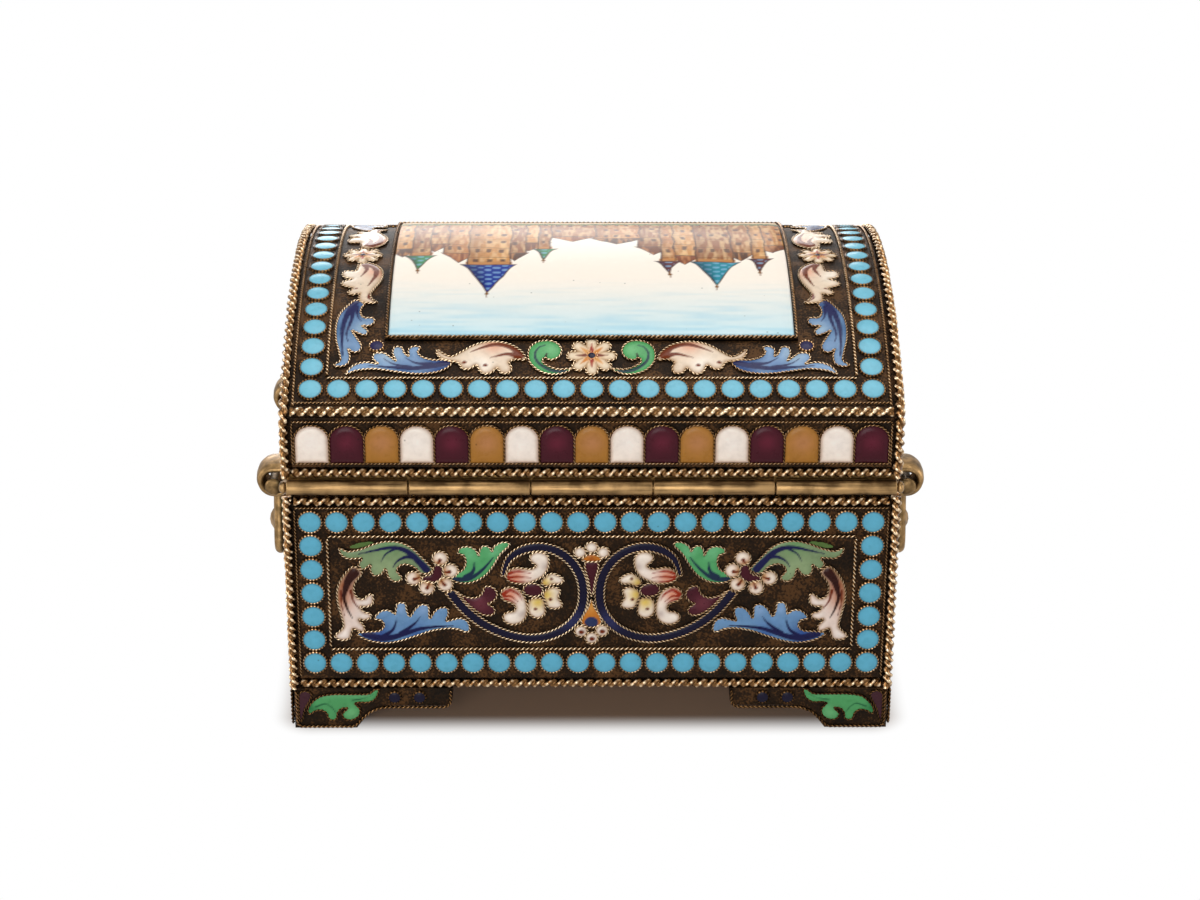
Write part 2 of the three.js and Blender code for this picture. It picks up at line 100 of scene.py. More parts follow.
# Colours of the enamels
glaze = {
    "turquoise": "#64B9DA", "lidTurquoise": "#72B6CA", "navy": "#0E0B28", "ink": "#16132A",
    "vein": "#151848", "darkVein": "#1B2F48", "blue": "#6C98C6", "paleBlue": "#86ABD8", "steel": "#7C9ABC",
    "sage": "#7C9670", "emerald": "#54A86C", "mint": "#6BBB85", "deepGreen": "#56743E", "stalk": "#1E5A3C",
    # the grey #CFC3BC is painted shade, washed over the ends of the white petals
    "white": "#FBF3E9", "chalk": "#F8F0EA", "pearl": "#CFC3BC", "cream": "#DDC8B0", "milk": "#F0E4D4",
    "blush": "#D89A7C", "salmon": "#DC9478", "yellow": "#E0C45C", "ochre": "#A87632", "orange": "#C57A2C",
    "tan": "#CC8E48", "burnt": "#A88560", "red": "#942A12", "brown": "#6C2A12", "umber": "#682C10",
    "bistre": "#2E0E08", "maroon": "#421420",
}


def linear(colour):
    # a glaze or a hex code, from sRGB to linear light
    code = glaze.get(colour, colour)
    srgb = np.array([int(code[i:i + 2], 16) for i in (1, 3, 5)]) / 255
    return np.where(srgb <= 0.04045, srgb / 12.92, ((srgb + 0.055) / 1.055) ** 2.4)


# A part is (points, faces, tint); a face with -1 in its last place is a triangle
def flipped(faces):
    return np.where(faces[:, 3:] < 0, faces[:, [2, 1, 0, 3]], faces[:, ::-1])


def gridPart(points, tint, closeRows=False, closeColumns=False, flip=False):
    # tint is a colour, or one shade for each point
    rows, columns = points.shape[:2]
    spans = np.arange(rows - (not closeRows)), np.arange(columns - (not closeColumns))
    i, j = np.meshgrid(*spans, indexing="ij")
    below, beside = (i + 1) % rows, (j + 1) % columns
    corners = [i * columns + j, below * columns + j, below * columns + beside, i * columns + beside]
    faces = np.stack([c.ravel() for c in corners], -1)
    tint = tint[..., None] if np.ndim(tint) == 2 else tint
    tint = np.broadcast_to(tint, points.shape).reshape(-1, 3)
    return points.reshape(-1, 3), flipped(faces) if flip else faces, tint


def fan(ring, middle):
    return np.stack([ring, np.roll(ring, -1), np.full(len(ring), middle), np.full(len(ring), -1)], -1)


def capped(part, sides):
    # closes a tube with fans to the middle of its first and last ring
    points, faces, tint = part
    first, last = np.arange(sides), len(points) - 1 - np.arange(sides)
    ends = [np.vstack([values[first].mean(0), values[last].mean(0)]) for values in (points, tint)]
    faces = np.vstack([faces, fan(first, len(points)), fan(last, len(points) + 1)])
    return np.vstack([points, ends[0]]), faces, np.vstack([tint, ends[1]])


def joined(parts):
    starts = np.cumsum([0] + [len(points) for points, _, _ in parts[:-1]])
    faces = [np.where(f >= 0, f + start, -1) for start, (_, f, _) in zip(starts, parts)]
    return np.vstack([p[0] for p in parts]), np.vstack(faces), np.vstack([p[2] for p in parts])


def mirrored(part, across=0):
    # across the line u = 0, or with 1 the line v = 0
    points = part[0].copy()
    points[:, across] *= -1
    return points, flipped(part[1]), part[2]


def moved(part, shift, scale=1.0):
    return part[0] * scale + (*shift, 0.0), part[1], part[2]


def toned(part, share):
    return part[0], part[1], share * part[2]


def laidOn(surface, part):
    return surface(part[0]), part[1], part[2]


def makePiece(name, part, material, body, nodes=()):
    points, faces, tint = part
    mesh = bpy.data.meshes.new(name)
    mesh.vertices.add(len(points))
    mesh.vertices.foreach_set("co", (points / metre).astype(np.float32).ravel())
    corners = faces >= 0
    starts = np.concatenate([[0], np.cumsum(corners.sum(1))[:-1]])
    mesh.loops.add(int(corners.sum()))
    mesh.loops.foreach_set("vertex_index", faces[corners].astype(np.int32))
    mesh.polygons.add(len(faces))
    mesh.polygons.foreach_set("loop_start", starts.astype(np.int32))
    mesh.polygons.foreach_set("use_smooth", np.full(len(faces), True))
    layer = mesh.attributes.new("tint", "FLOAT_COLOR", "POINT")
    rgba = np.hstack([tint, np.ones((len(tint), 1))])
    layer.data.foreach_set("color", rgba.astype(np.float32).ravel())
    mesh.update(calc_edges=True)
    mesh.validate()
    mesh.materials.append(material)
    piece = bpy.data.objects.new(name, mesh)
    scene.collection.objects.link(piece)
    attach(piece, body)
    if nodes:
        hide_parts(*nodes)


# Lines and outlines
def fullTurn(count):
    return np.linspace(0, 2 * math.pi, count, endpoint=False)


def unit(rows):
    return rows / np.linalg.norm(rows, axis=1, keepdims=True)


def evenly(curve, step, closed=False):
    # points spaced evenly along a line; a closed line leaves out its last point
    reach = np.concatenate([[0], np.cumsum(np.linalg.norm(np.diff(curve, axis=0), axis=1))])
    count = max(int(round(reach[-1] / step)), 3)
    at = np.linspace(0, reach[-1], count + (not closed), endpoint=not closed)
    return np.stack([np.interp(at, reach, axis) for axis in np.transpose(curve)], -1)


def smoothCurve(points, step, closed=False):
    # Catmull-Rom through the points, then spaced evenly along its length
    p = np.array(points, float)
    around = np.vstack([p[-1], p, p[:2]]) if closed else np.vstack([p[0], p, p[-1]])
    a, b, c, d = around[:-3, None], around[1:-2, None], around[2:-1, None], around[3:, None]
    t = np.linspace(0, 1, 12, endpoint=False)[None, :, None]
    curve = b + 0.5 * t * (c - a + t * (2 * a - 5 * b + 4 * c - d + t * (3 * (b - c) + d - a)))
    return evenly(np.vstack([curve.reshape(-1, 2), p[0] if closed else p[-1]]), step, closed)


# Twisted wire laid on a panel: the union of two round strands, turning half a turn for each lay
wire = {"diameter": 0.34, "lay": 0.54, "lift": 0.16, "wearAndHighlight": 1.2, "stations": 4, "sides": 8,
        "strand": 0.505, "crest": (0.6, 0.92)}
frameWire = {"diameter": 0.46, "lay": 0.62, "lift": 0.19, "wearAndHighlight": 1.1}
edgeWire = {"diameter": 0.32, "lay": 0.5, "wearAndHighlight": 0.8}


def strandReach(turn, radius, strand):
    # distance from the axis to the outside of two strands of the given share of the radius
    core, offset = strand * radius, (1 - strand) * radius
    return offset * np.abs(np.cos(turn)) + np.sqrt(core ** 2 - (offset * np.sin(turn)) ** 2)


def twistedWire(path, closed=False, diameter=wire["diameter"], lay=wire["lay"], lift=wire["lift"],
                wearAndHighlight=wire["wearAndHighlight"]):
    path = np.array(path, float)
    line = evenly(np.vstack([path, path[:1]]) if closed else path, lay / wire["stations"], closed)
    ahead, behind = np.roll(line, -1, 0), np.roll(line, 1, 0)
    if not closed:
        ahead[-1], behind[0] = line[-1], line[0]
    along = unit(ahead - behind)
    side = np.stack([along[:, 1], -along[:, 0]], -1)
    lays = len(line) / wire["stations"]
    twist = math.pi * (round(lays) if closed else lays) * np.arange(len(line))[:, None] / len(line)
    turn, radius = fullTurn(wire["sides"]), diameter / 2
    reach = strandReach(turn - twist, radius, wire["strand"])
    flat = line[:, None] + side[:, None] * (reach * np.cos(turn))[..., None]
    rise = reach * np.sin(turn)
    # rubbing brightens the crests of the strands, with a painted highlight there; painted lighter on top
    # and painted shade down the lower sides
    low, high = wire["crest"]
    rubAndHighlight = np.clip((reach / radius - low) / (high - low), 0, 1)
    rubAndHighlight *= np.clip(0.85 + 0.5 * rise / radius, 0, 1)
    part = gridPart(np.dstack([flat, lift + rise]), wearAndHighlight * rubAndHighlight, closed, True)
    return part if closed else capped(part, wire["sides"])


def frameWires(left, low, right, high):
    gap = wire["diameter"]
    lines = [[(left, v), (right, v)] for v in (low, high)]
    lines += [[(u, low + gap), (u, high - gap)] for u in (left, right)]
    return [twistedWire(line, **frameWire) for line in lines]


# A bead of enamel in a ring of beaded wire: a low cap in steps (share of the radius, share of the colour),
# and a three-sided ring that swells at each lobe
bead = {"cap": 1.47, "rise": 0.16, "seat": 0.22, "sectors": 16,
        "steps": [(1.0, 0.42), (0.84, 0.96), (0.45, 1.0)],
        "ring": 1.53, "wire": 0.4, "lift": 0.2, "lobes": 22, "waist": 0.55, "wearAndHighlight": 0.8,
        "section": [(-0.5, -0.35), (0.0, 0.5), (0.5, -0.35)], "rubAndHighlight": [0.7, 1.1, 0.7]}


def ringPoints(centre, reach, turn, height):
    return np.dstack([centre[0] + reach * np.cos(turn), centre[1] + reach * np.sin(turn), height])


def beadPart(centre, colour, size=1.0):
    turn = fullTurn(bead["sectors"])
    share, shade = (np.array(values)[:, None] for values in zip(*bead["steps"]))
    reach = share * bead["cap"] * size
    height = bead["seat"] + bead["rise"] * (1 - share ** 2) + 0 * turn
    # painted shade: the cap's colour falls to 42% at its edge, where it meets the ring
    rings, shade = ringPoints(centre, reach, turn, height), shade[..., None] * linear(colour)
    points, faces, tint = gridPart(rings, shade, closeColumns=True, flip=True)
    inner = len(points) - len(turn) + np.arange(len(turn))
    faces = np.vstack([faces, fan(inner, len(points))])
    top = (*centre, bead["seat"] + bead["rise"])
    return np.vstack([points, top]), faces, np.vstack([tint, linear(colour)])


def beadRing(centre, size=1.0, wearAndHighlight=bead["wearAndHighlight"]):
    lobes = max(int(round(bead["lobes"] * size)), 8)
    turn, waist = fullTurn(2 * lobes)[:, None], bead["waist"]
    swell = np.where(np.arange(2 * lobes) % 2 == 0, 1.0, waist)[:, None]
    across, up = bead["wire"] * np.transpose(bead["section"])
    reach = bead["ring"] * size + across * swell
    points = ringPoints(centre, reach, turn, bead["lift"] + up * swell)
    # the lobes and the top of the ring are lighter: rubbing with a painted highlight, and painted lighter
    # on top
    rubAndHighlight = wearAndHighlight * (swell - waist) / (1 - waist) * np.array(bead["rubAndHighlight"])
    return gridPart(points, rubAndHighlight, closeRows=True, flip=True)


# A cell of enamel inside any outline: a square grid kept to the inside, its rim drawn onto the outline,
# swelling from a low rim to its crown, with washes and veins of other colours
cell = {"step": 0.17, "rim": 0.12, "crown": 0.18, "shoulder": 0.8, "soft": 0.12, "brush": 0.7,
        "brushStep": 0.2, "rimWidth": 0.3, "rimShare": 0.85, "catch": 0.7}


def nearest(points, edge):
    # gap to the outline and the spot on it, tried on the two sides that meet at its nearest corner
    k = np.linalg.norm(points[:, None] - edge[None], axis=2).argmin(1)
    best, spot = np.full(len(points), np.inf), np.zeros_like(points)
    for a, b in ((edge[k], edge[(k + 1) % len(edge)]), (edge[k], edge[k - 1])):
        run = b - a
        t = np.clip(((points - a) * run).sum(1) / ((run ** 2).sum(1) + 1e-12), 0, 1)
        foot = a + run * t[:, None]
        far = np.linalg.norm(points - foot, axis=1)
        closer = far < best
        best, spot = np.where(closer, far, best), np.where(closer[:, None], foot, spot)
    return best, spot


def insideOf(points, edge):
    # an odd number of the outline's sides lies to the right of a point inside it
    a, b, p = edge[None], np.roll(edge, -1, 0)[None], points[:, None]
    spans = (a[..., 1] > p[..., 1]) != (b[..., 1] > p[..., 1])
    rise = np.where(b[..., 1] == a[..., 1], 1e-9, b[..., 1] - a[..., 1])
    crossing = a[..., 0] + (p[..., 1] - a[..., 1]) * (b[..., 0] - a[..., 0]) / rise
    return (spans & (p[..., 0] < crossing)).sum(1) % 2 == 1


def enamelCell(edge, base, washes=(), strokes=(), crown=cell["crown"], rim=None):
    # a wash is (colour, centre, radius), a stroke (colour, width at its start, at its end, line)
    step = cell["step"]
    low, high = edge.min(0) - step, edge.max(0) + step
    u, v = (np.arange(low[k], high[k] + step, step) for k in (0, 1))
    flat = np.stack(np.meshgrid(u, v, indexing="ij"), -1).reshape(-1, 2)
    far, foot = nearest(flat, edge)
    inside = insideOf(flat, edge)
    kept = (inside | (far < cell["catch"] * step)).reshape(len(u), len(v))
    flat, depth = np.where(inside[:, None], flat, foot), np.where(inside, far, 0.0)
    height = cell["rim"] + crown * (1 - (1 - np.clip(depth / cell["shoulder"], 0, 1)) ** 2)
    tint = np.tile(linear(base), (len(flat), 1))

    def lay(colour, share):
        tint[...] += (linear(colour) - tint) * share[:, None]

    for colour, centre, radius in washes:
        lay(colour, np.exp(-(np.linalg.norm(flat - np.array(centre), axis=1) / radius) ** 2))
    if rim:
        lay(rim, cell["rimShare"] * np.exp(-(depth / cell["rimWidth"]) ** 2))
    for colour, startWidth, endWidth, line in strokes:
        path = smoothCurve(line, cell["brushStep"])
        half = cell["brush"] * np.linspace(startWidth, endWidth, len(path))
        gap = (np.linalg.norm(flat[:, None] - path[None], axis=2) - half).min(1)
        lay(colour, np.clip(0.5 - gap / cell["soft"], 0, 1))
    faces = gridPart(np.zeros((len(u), len(v), 3)), 0.0)[1]
    whole = kept[:-1, :-1] & kept[1:, :-1] & kept[:-1, 1:] & kept[1:, 1:]
    used, faces = np.unique(faces[whole.ravel()], return_inverse=True)
    return np.column_stack([flat, height])[used], faces.reshape(-1, 4), tint[used]


def motif(cells, dots=()):
    # enamel and wires: cells by their outline or their ready edge, and round dots
    enamel, wires = [], []
    for spec in cells:
        looks = {key: value for key, value in spec.items() if key not in ("outline", "edge", "bare")}
        edge = spec["edge"] if "edge" in spec else smoothCurve(spec["outline"], cell["step"], closed=True)
        enamel.append(enamelCell(edge, **looks))
        if "bare" not in spec:
            wires.append(twistedWire(edge, closed=True))
    for centre, radius, colour in dots:
        enamel.append(beadPart(centre, colour, radius / bead["cap"]))
        wires.append(beadRing(centre, radius / bead["cap"]))
    return joined(enamel), joined(wires)


# Foliage of a long wall: its left half, which is mirrored, and the stem on the middle line, u = axis
petal = {"base": "white", "rim": "burnt", "crown": 0.34}
smallPetal = {"base": "white", "rim": "burnt", "crown": 0.32}
wallOrnament = {"axis": 0.3, "half": [{
    "outline": [
        (-32.3, 27.0), (-31.2, 26.5), (-29.5, 26.85), (-28.0, 27.5), (-26.3, 27.95), (-24.6, 27.85),
        (-23.2, 27.2), (-22.0, 26.0), (-20.9, 24.7), (-20.3, 23.9), (-21.0, 23.3), (-21.9, 23.4),
        (-22.6, 24.2), (-23.7, 24.65), (-24.6, 24.4), (-24.95, 23.6), (-24.3, 22.6), (-25.1, 22.1),
        (-26.0, 22.7), (-26.4, 24.0), (-27.0, 23.2), (-27.9, 23.0), (-28.4, 23.8), (-28.3, 24.6),
        (-29.3, 23.9), (-29.9, 24.6), (-29.4, 25.5), (-30.4, 25.5), (-31.3, 25.5), (-32.1, 26.1)],
    "base": "sage", "washes": [("#6E9A66", (-26.0, 27.6), 1.6), ("#94AE84", (-26.5, 24.0), 1.8)],
    "strokes": [
        ("vein", 0.75, 0.12, [(-21.1, 23.9), (-22.0, 25.0), (-23.2, 26.3), (-24.5, 27.0), (-26.0, 27.1),
                              (-27.8, 26.7), (-29.8, 26.2)]),
        ("vein", 0.3, 0.1, [(-25.0, 27.0), (-26.3, 26.2), (-26.9, 25.1)]),
        ("vein", 0.5, 0.1, [(-22.6, 25.8), (-23.9, 25.7), (-24.9, 25.1), (-25.4, 24.3)])],
}, {
    "outline": [(-31.1, 27.1), (-30.0, 27.65), (-28.5, 27.9), (-27.8, 27.75), (-28.9, 27.25),
                (-30.2, 26.95)],
    "base": "deepGreen", "crown": 0.04, "bare": True,
}, {
    "outline": [
        (-30.6, 24.3), (-31.5, 23.5), (-32.4, 22.1), (-32.8, 20.6), (-32.75, 19.0), (-32.4, 17.3),
        (-32.1, 15.6), (-32.6, 14.8), (-33.3, 14.1), (-32.9, 13.6), (-32.1, 13.45), (-31.3, 13.8),
        (-30.9, 15.1), (-30.2, 14.85), (-29.5, 14.75), (-29.4, 15.5), (-30.1, 16.5), (-29.3, 16.45),
        (-28.5, 16.8), (-28.6, 17.4), (-29.4, 17.7), (-29.8, 18.4), (-29.0, 18.4), (-28.2, 18.9),
        (-28.2, 20.2), (-28.8, 20.1), (-29.4, 19.55), (-30.2, 19.8), (-30.6, 20.8), (-30.4, 22.0),
        (-29.5, 23.3), (-29.9, 24.0)],
    "base": "#EFE0D8", "rim": "burnt", "crown": 0.3,
    "washes": [("#C98E6E", (-32.4, 19.6), 1.7), ("#A05A38", (-31.8, 21.6), 1.6),
               ("#6E2E1C", (-30.9, 23.4), 1.5), ("chalk", (-29.2, 18.8), 0.9),
               ("chalk", (-29.5, 16.6), 0.9), ("chalk", (-32.0, 14.2), 1.2)],
    "strokes": [
        ("bistre", 0.95, 0.5, [(-30.5, 23.4), (-31.3, 22.3), (-31.7, 21.0)]),
        ("bistre", 0.5, 0.1, [(-31.7, 21.2), (-31.9, 19.8), (-31.5, 18.2), (-30.9, 16.8)]),
        ("brown", 0.3, 0.1, [(-31.0, 20.8), (-30.7, 19.4), (-30.0, 18.2)]),
        ("brown", 0.25, 0.1, [(-32.3, 20.8), (-32.3, 19.0), (-31.9, 17.2)])],
}, {
    "outline": [
        (-30.4, 14.4), (-29.3, 13.6), (-27.8, 13.15), (-26.3, 13.05), (-24.6, 13.4), (-22.6, 14.1),
        (-20.6, 14.85), (-18.6, 15.2), (-17.2, 15.1), (-16.1, 14.65), (-15.6, 15.0), (-15.9, 16.2),
        (-16.8, 16.7), (-17.7, 16.5), (-18.7, 16.3), (-18.4, 17.2), (-18.5, 18.2), (-19.5, 18.2),
        (-20.2, 17.6), (-20.8, 16.6), (-20.9, 17.5), (-21.0, 18.5), (-21.9, 18.7), (-22.7, 18.0),
        (-23.4, 16.9), (-23.8, 17.8), (-24.0, 18.9), (-24.9, 18.9), (-25.2, 18.1), (-25.3, 17.3),
        (-26.1, 17.85), (-27.2, 17.7), (-28.0, 16.7), (-27.1, 16.35), (-26.8, 15.5), (-27.5, 14.8),
        (-29.0, 14.7)],
    "base": "blue",
    "washes": [("#2A4C94", (-27.6, 14.0), 2.0), ("#446CAE", (-22.6, 14.4), 1.5),
               ("paleBlue", (-24.4, 18.2), 0.8), ("paleBlue", (-21.6, 18.0), 0.8)],
    "strokes": [
        ("vein", 0.8, 0.15, [(-29.3, 14.4), (-27.5, 13.8), (-25.8, 13.9), (-24.0, 14.5), (-22.0, 15.2),
                             (-19.6, 15.5), (-17.8, 15.6)]),
        ("vein", 0.45, 0.1, [(-26.9, 14.1), (-25.8, 14.9), (-25.3, 15.9), (-25.2, 16.7)]),
        ("vein", 0.5, 0.1, [(-24.6, 14.5), (-23.3, 15.5), (-22.5, 16.3), (-22.1, 16.9)])],
}, {
    "outline": [
        (-17.9, 22.5), (-17.1, 22.0), (-15.8, 21.9), (-14.5, 22.3), (-13.3, 23.2), (-12.4, 24.5),
        (-11.5, 26.1), (-10.4, 27.3), (-10.5, 27.8), (-11.4, 27.8), (-12.3, 27.2), (-12.6, 26.4),
        (-12.9, 27.1), (-13.7, 27.3), (-14.2, 26.6), (-14.3, 25.8), (-14.7, 26.7), (-15.6, 27.2),
        (-16.7, 27.0), (-17.0, 26.3), (-16.2, 25.9), (-16.0, 24.8), (-16.4, 23.8), (-17.5, 23.2)],
    "base": "emerald", "washes": [("mint", (-15.5, 26.2), 1.0), ("mint", (-12.2, 26.6), 1.0)],
    "strokes": [
        ("darkVein", 0.6, 0.15, [(-17.4, 22.4), (-15.8, 22.5), (-14.6, 23.2), (-13.4, 24.4),
                                 (-12.5, 25.6)]),
        ("darkVein", 0.6, 0.12, [(-16.0, 22.8), (-15.1, 23.6), (-14.9, 24.9)])],
}, {
    "outline": [
        (-17.4, 20.8), (-16.4, 20.0), (-15.2, 19.7), (-14.3, 19.95), (-13.8, 20.6), (-13.6, 21.3),
        (-12.9, 21.4), (-12.2, 20.9), (-12.0, 20.0), (-12.5, 19.2), (-13.2, 18.8), (-12.5, 18.3),
        (-12.3, 17.6), (-13.0, 17.1), (-14.2, 17.4), (-15.6, 18.6), (-16.7, 19.9)],
    "base": "maroon", "washes": [("#66303C", (-14.2, 18.9), 1.2)],
}, {
    "outline": [(-19.8, 24.75), (-19.1, 24.2), (-18.9, 23.2), (-19.5, 22.3), (-20.6, 21.95), (-21.7, 22.3),
                (-21.4, 22.9), (-20.5, 23.2), (-20.2, 24.0)],
    "base": "maroon",
}, petal | {
    "outline": [
        (-10.8, 23.0), (-10.3, 23.8), (-9.4, 24.15), (-8.3, 24.0), (-7.4, 24.0), (-6.9, 24.45),
        (-7.45, 24.95), (-7.75, 25.6), (-7.2, 26.3), (-6.2, 26.4), (-5.4, 25.9), (-5.2, 25.0),
        (-5.4, 23.9), (-6.0, 22.9), (-7.2, 22.15), (-8.6, 21.75), (-10.1, 22.0), (-10.7, 22.5)],
    # the grey wash at the petal's right end is painted shade
    "washes": [("salmon", (-9.6, 22.9), 1.5), ("pearl", (-5.7, 24.4), 0.6)],
    "strokes": [("red", 0.32, 0.08, [(-10.5, 23.3), (-9.3, 23.7), (-7.6, 23.4)]),
                ("red", 0.34, 0.08, [(-10.5, 22.8), (-9.3, 22.95), (-7.6, 22.8)]),
                ("red", 0.36, 0.08, [(-10.4, 22.4), (-9.3, 22.15), (-8.0, 22.2)])],
}, petal | {
    "outline": [
        (-11.5, 20.4), (-11.1, 21.05), (-10.4, 21.3), (-9.3, 21.0), (-8.5, 20.0), (-8.1, 18.5),
        (-8.2, 17.0), (-8.9, 16.05), (-10.1, 15.75), (-11.1, 16.3), (-11.2, 17.1), (-10.6, 17.6),
        (-9.9, 17.7), (-9.6, 18.2), (-9.9, 18.8), (-10.8, 19.2), (-11.4, 19.7)],
    # the grey wash at the petal's lower end is painted shade
    "washes": [("salmon", (-10.3, 20.2), 1.2), ("pearl", (-8.7, 17.4), 0.6)],
    "strokes": [("red", 0.4, 0.1, [(-11.2, 20.3), (-10.3, 20.9), (-9.3, 20.4), (-8.7, 19.4)]),
                ("red", 0.3, 0.08, [(-11.1, 20.0), (-10.3, 20.1), (-9.3, 19.3)]),
                ("red", 0.3, 0.08, [(-10.9, 19.6), (-10.2, 19.4), (-9.5, 18.9)])],
}, {
    "outline": [(-8.6, 20.9), (-8.2, 21.6), (-7.3, 21.85), (-6.4, 21.5), (-6.0, 20.8), (-6.4, 20.1),
                (-7.3, 19.9), (-8.2, 20.2)],
    "base": "maroon",
}, smallPetal | {
    "outline": [(-6.2, 21.9), (-5.7, 22.8), (-4.8, 23.3), (-3.8, 22.9), (-3.3, 22.3), (-3.8, 21.75),
                (-4.7, 21.7), (-5.5, 21.4)],
    "washes": [("yellow", (-5.9, 21.9), 1.1)],
    "strokes": [("brown", 0.26, 0.26, [(-4.95, 22.6), (-4.85, 22.6)])],
}, smallPetal | {
    "outline": [(-5.5, 21.0), (-4.4, 21.3), (-3.75, 20.7), (-4.0, 19.75), (-3.5, 18.6), (-4.3, 18.1),
                (-5.3, 18.3), (-5.7, 19.2), (-6.0, 20.2)],
    "washes": [("yellow", (-5.7, 20.3), 1.2)],
    "strokes": [("brown", 0.3, 0.3, [(-5.1, 19.6), (-5.0, 19.6)])],
}, smallPetal | {
    "outline": [(-7.7, 19.4), (-6.9, 19.7), (-6.0, 19.5), (-5.75, 18.4), (-5.8, 17.3), (-6.7, 16.7),
                (-7.7, 17.2), (-8.0, 18.25)],
    "washes": [("yellow", (-6.7, 19.3), 1.2)],
    "strokes": [("brown", 0.27, 0.27, [(-7.05, 18.2), (-6.95, 18.2)])],
}], "heart": (-20.2, 23.4),
    "knobs": [(-19.3, 25.5), (-18.0, 23.7), (-18.7, 21.7), (-21.1, 21.2), (-22.8, 22.6)],
    "stem": [{
        "outline": [(-0.95, 25.3), (-0.4, 25.9), (0.3, 26.1), (1.1, 25.9), (1.6, 25.3), (1.0, 25.05),
                    (-0.4, 25.05)],
        "base": "orange", "washes": [("#A85A22", (0.3, 25.4), 0.5)],
    }, {
        "outline": [(-0.45, 24.9), (0.3, 25.0), (1.05, 24.9), (1.2, 24.1), (0.8, 22.4), (0.35, 19.9),
                    (-0.15, 22.4), (-0.55, 24.1)],
        "base": "maroon",
    }, {
        "outline": [(0.3, 19.4), (0.75, 18.2), (1.5, 16.8), (1.5, 15.8), (0.3, 15.3), (-0.9, 15.8),
                    (-0.9, 16.8), (-0.15, 18.2)],
        "base": "orange", "washes": [("#D59A4E", (0.3, 18.6), 0.9)],
        "strokes": [("#2B3760", 1.2, 1.2, [(0.25, 16.1), (0.35, 16.1)])],
    }],
    "upperKnobs": [(-1.2, 26.35), (0.3, 27.1), (1.8, 26.35)], "upperRadius": 0.8,
    "lowerKnobs": [(-1.05, 14.75), (0.35, 13.75), (1.7, 14.85)], "lowerRadius": 0.85, "lowerDot": 0.5,
}
scrollBand = {
    "line": [(-18.2, 20.7), (-16.4, 18.2), (-14.2, 16.1), (-11.6, 14.6), (-9.2, 13.85), (-7.0, 13.7),
             (-4.6, 14.3), (-2.5, 15.7), (-1.1, 17.9), (-0.75, 20.5), (-1.2, 23.0), (-2.5, 25.2),
             (-4.5, 26.7), (-6.8, 27.15), (-8.9, 26.6), (-10.3, 25.5), (-10.9, 24.2), (-11.2, 22.9)],
    "step": 0.3, "half": 0.6, "tip": 0.25, "tipLength": 5.0,
    "looks": {"base": "navy", "washes": [("#2A2E58", (-2.2, 16.4), 1.6)], "crown": 0.16},
}
whiteKnob = {"base": "white", "rim": "burnt", "crown": 0.38}


def knob(centre, radius, **looks):
    edge = np.array(centre) + radius * np.stack([np.cos(fullTurn(40)), np.sin(fullTurn(40))], -1)
    return {"edge": edge} | whiteKnob | looks


def petalKnob(centre, heart, radius=1.02):
    # white, with a tan wash and a brown stroke towards the flower's heart
    centre, heart = np.array(centre), np.array(heart)
    inward = (heart - centre) / np.linalg.norm(heart - centre)
    washes = [("tan", centre + 0.9 * radius * inward, 0.8 * radius)]
    strokes = [("brown", 0.36, 0.16, [centre + 0.1 * inward, centre + 0.8 * radius * inward])]
    return knob(centre, radius, washes=washes, strokes=strokes)


def bandCell(spec):
    # a ribbon along a line, narrowing to its tip
    line = smoothCurve(spec["line"], spec["step"])
    along = unit(np.gradient(line, axis=0))
    left = spec["step"] * np.arange(len(line))[::-1]
    half = spec["tip"] + (spec["half"] - spec["tip"]) * np.clip(left / spec["tipLength"], 0, 1)
    out = np.stack([along[:, 1], -along[:, 0]], -1) * half[:, None]
    edge = evenly(np.vstack([line + out, (line - out)[::-1]]), cell["step"], True)
    return {"edge": edge} | spec["looks"]


def wallFoliage():
    spec = wallOrnament
    knobs = [petalKnob(centre, spec["heart"]) for centre in spec["knobs"]]
    half = motif([*spec["half"], *knobs, bandCell(scrollBand)])
    plain = [knob(centre, spec["upperRadius"]) for centre in spec["upperKnobs"]]
    dot = spec["lowerDot"]
    dotted = [knob((u, v), spec["lowerRadius"], strokes=[("brown", dot, dot, [(u, v), (u + 0.05, v)])])
              for u, v in spec["lowerKnobs"]]
    stem = motif([*spec["stem"], *plain, *dotted])
    shift = (-spec["axis"], 0.0)
    half, stem = ([moved(part, shift) for part in parts] for parts in (half, stem))
    return [joined([part, mirrored(part), middle]) for part, middle in zip(half, stem)]


# Rows of beads round a panel, and the lines of its wires
wallPanel = {"reach": 36.3, "across": 22, "foot": 10.05, "head": 30.75, "up": 7,
             "frame": (-34.15, 12.15, 34.15, 28.7), "topLine": 32.75, "sideLine": 38.22,
             "sideSpan": (8.0, 32.4)}
endPanel = {"reach": 28.2, "across": 17, "foot": 10.05, "head": 30.75, "up": 7,
            "frame": (-26.2, 12.15, 26.2, 25.9), "topLine": 32.75, "topHalf": 30.0, "lugs": (9.5, 17.0),
            "ornamentScale": 0.76, "ornamentLift": 3.35}
domePanel = {"reach": 35.9, "across": 21, "foot": -28.88, "head": 28.88, "up": 17, "ringWearAndHighlight": 0.5,
             "frameLine": 27.1, "sideLine": 33.9, "gap": 0.4, "outerLine": 38.05, "outerSpan": 31.5,
             "rimLine": 31.05,
             "sideWire": {"diameter": 0.5, "lay": 0.6, "wearAndHighlight": 1.0},
             "outerWire": {"diameter": 0.42, "lay": 0.54, "wearAndHighlight": 0.8}}


def borderSpots(panel):
    u = np.linspace(-panel["reach"], panel["reach"], panel["across"])
    v = np.linspace(panel["foot"], panel["head"], panel["up"])
    rows = [(x, y) for y in (v[0], v[-1]) for x in u]
    return rows + [(x, y) for x in (u[0], u[-1]) for y in v[1:-1]]


def beadBorder(spots, colour, wearAndHighlight=bead["wearAndHighlight"]):
    return joined([beadPart(s, colour) for s in spots]), joined([beadRing(s, 1.0, wearAndHighlight) for s in spots])


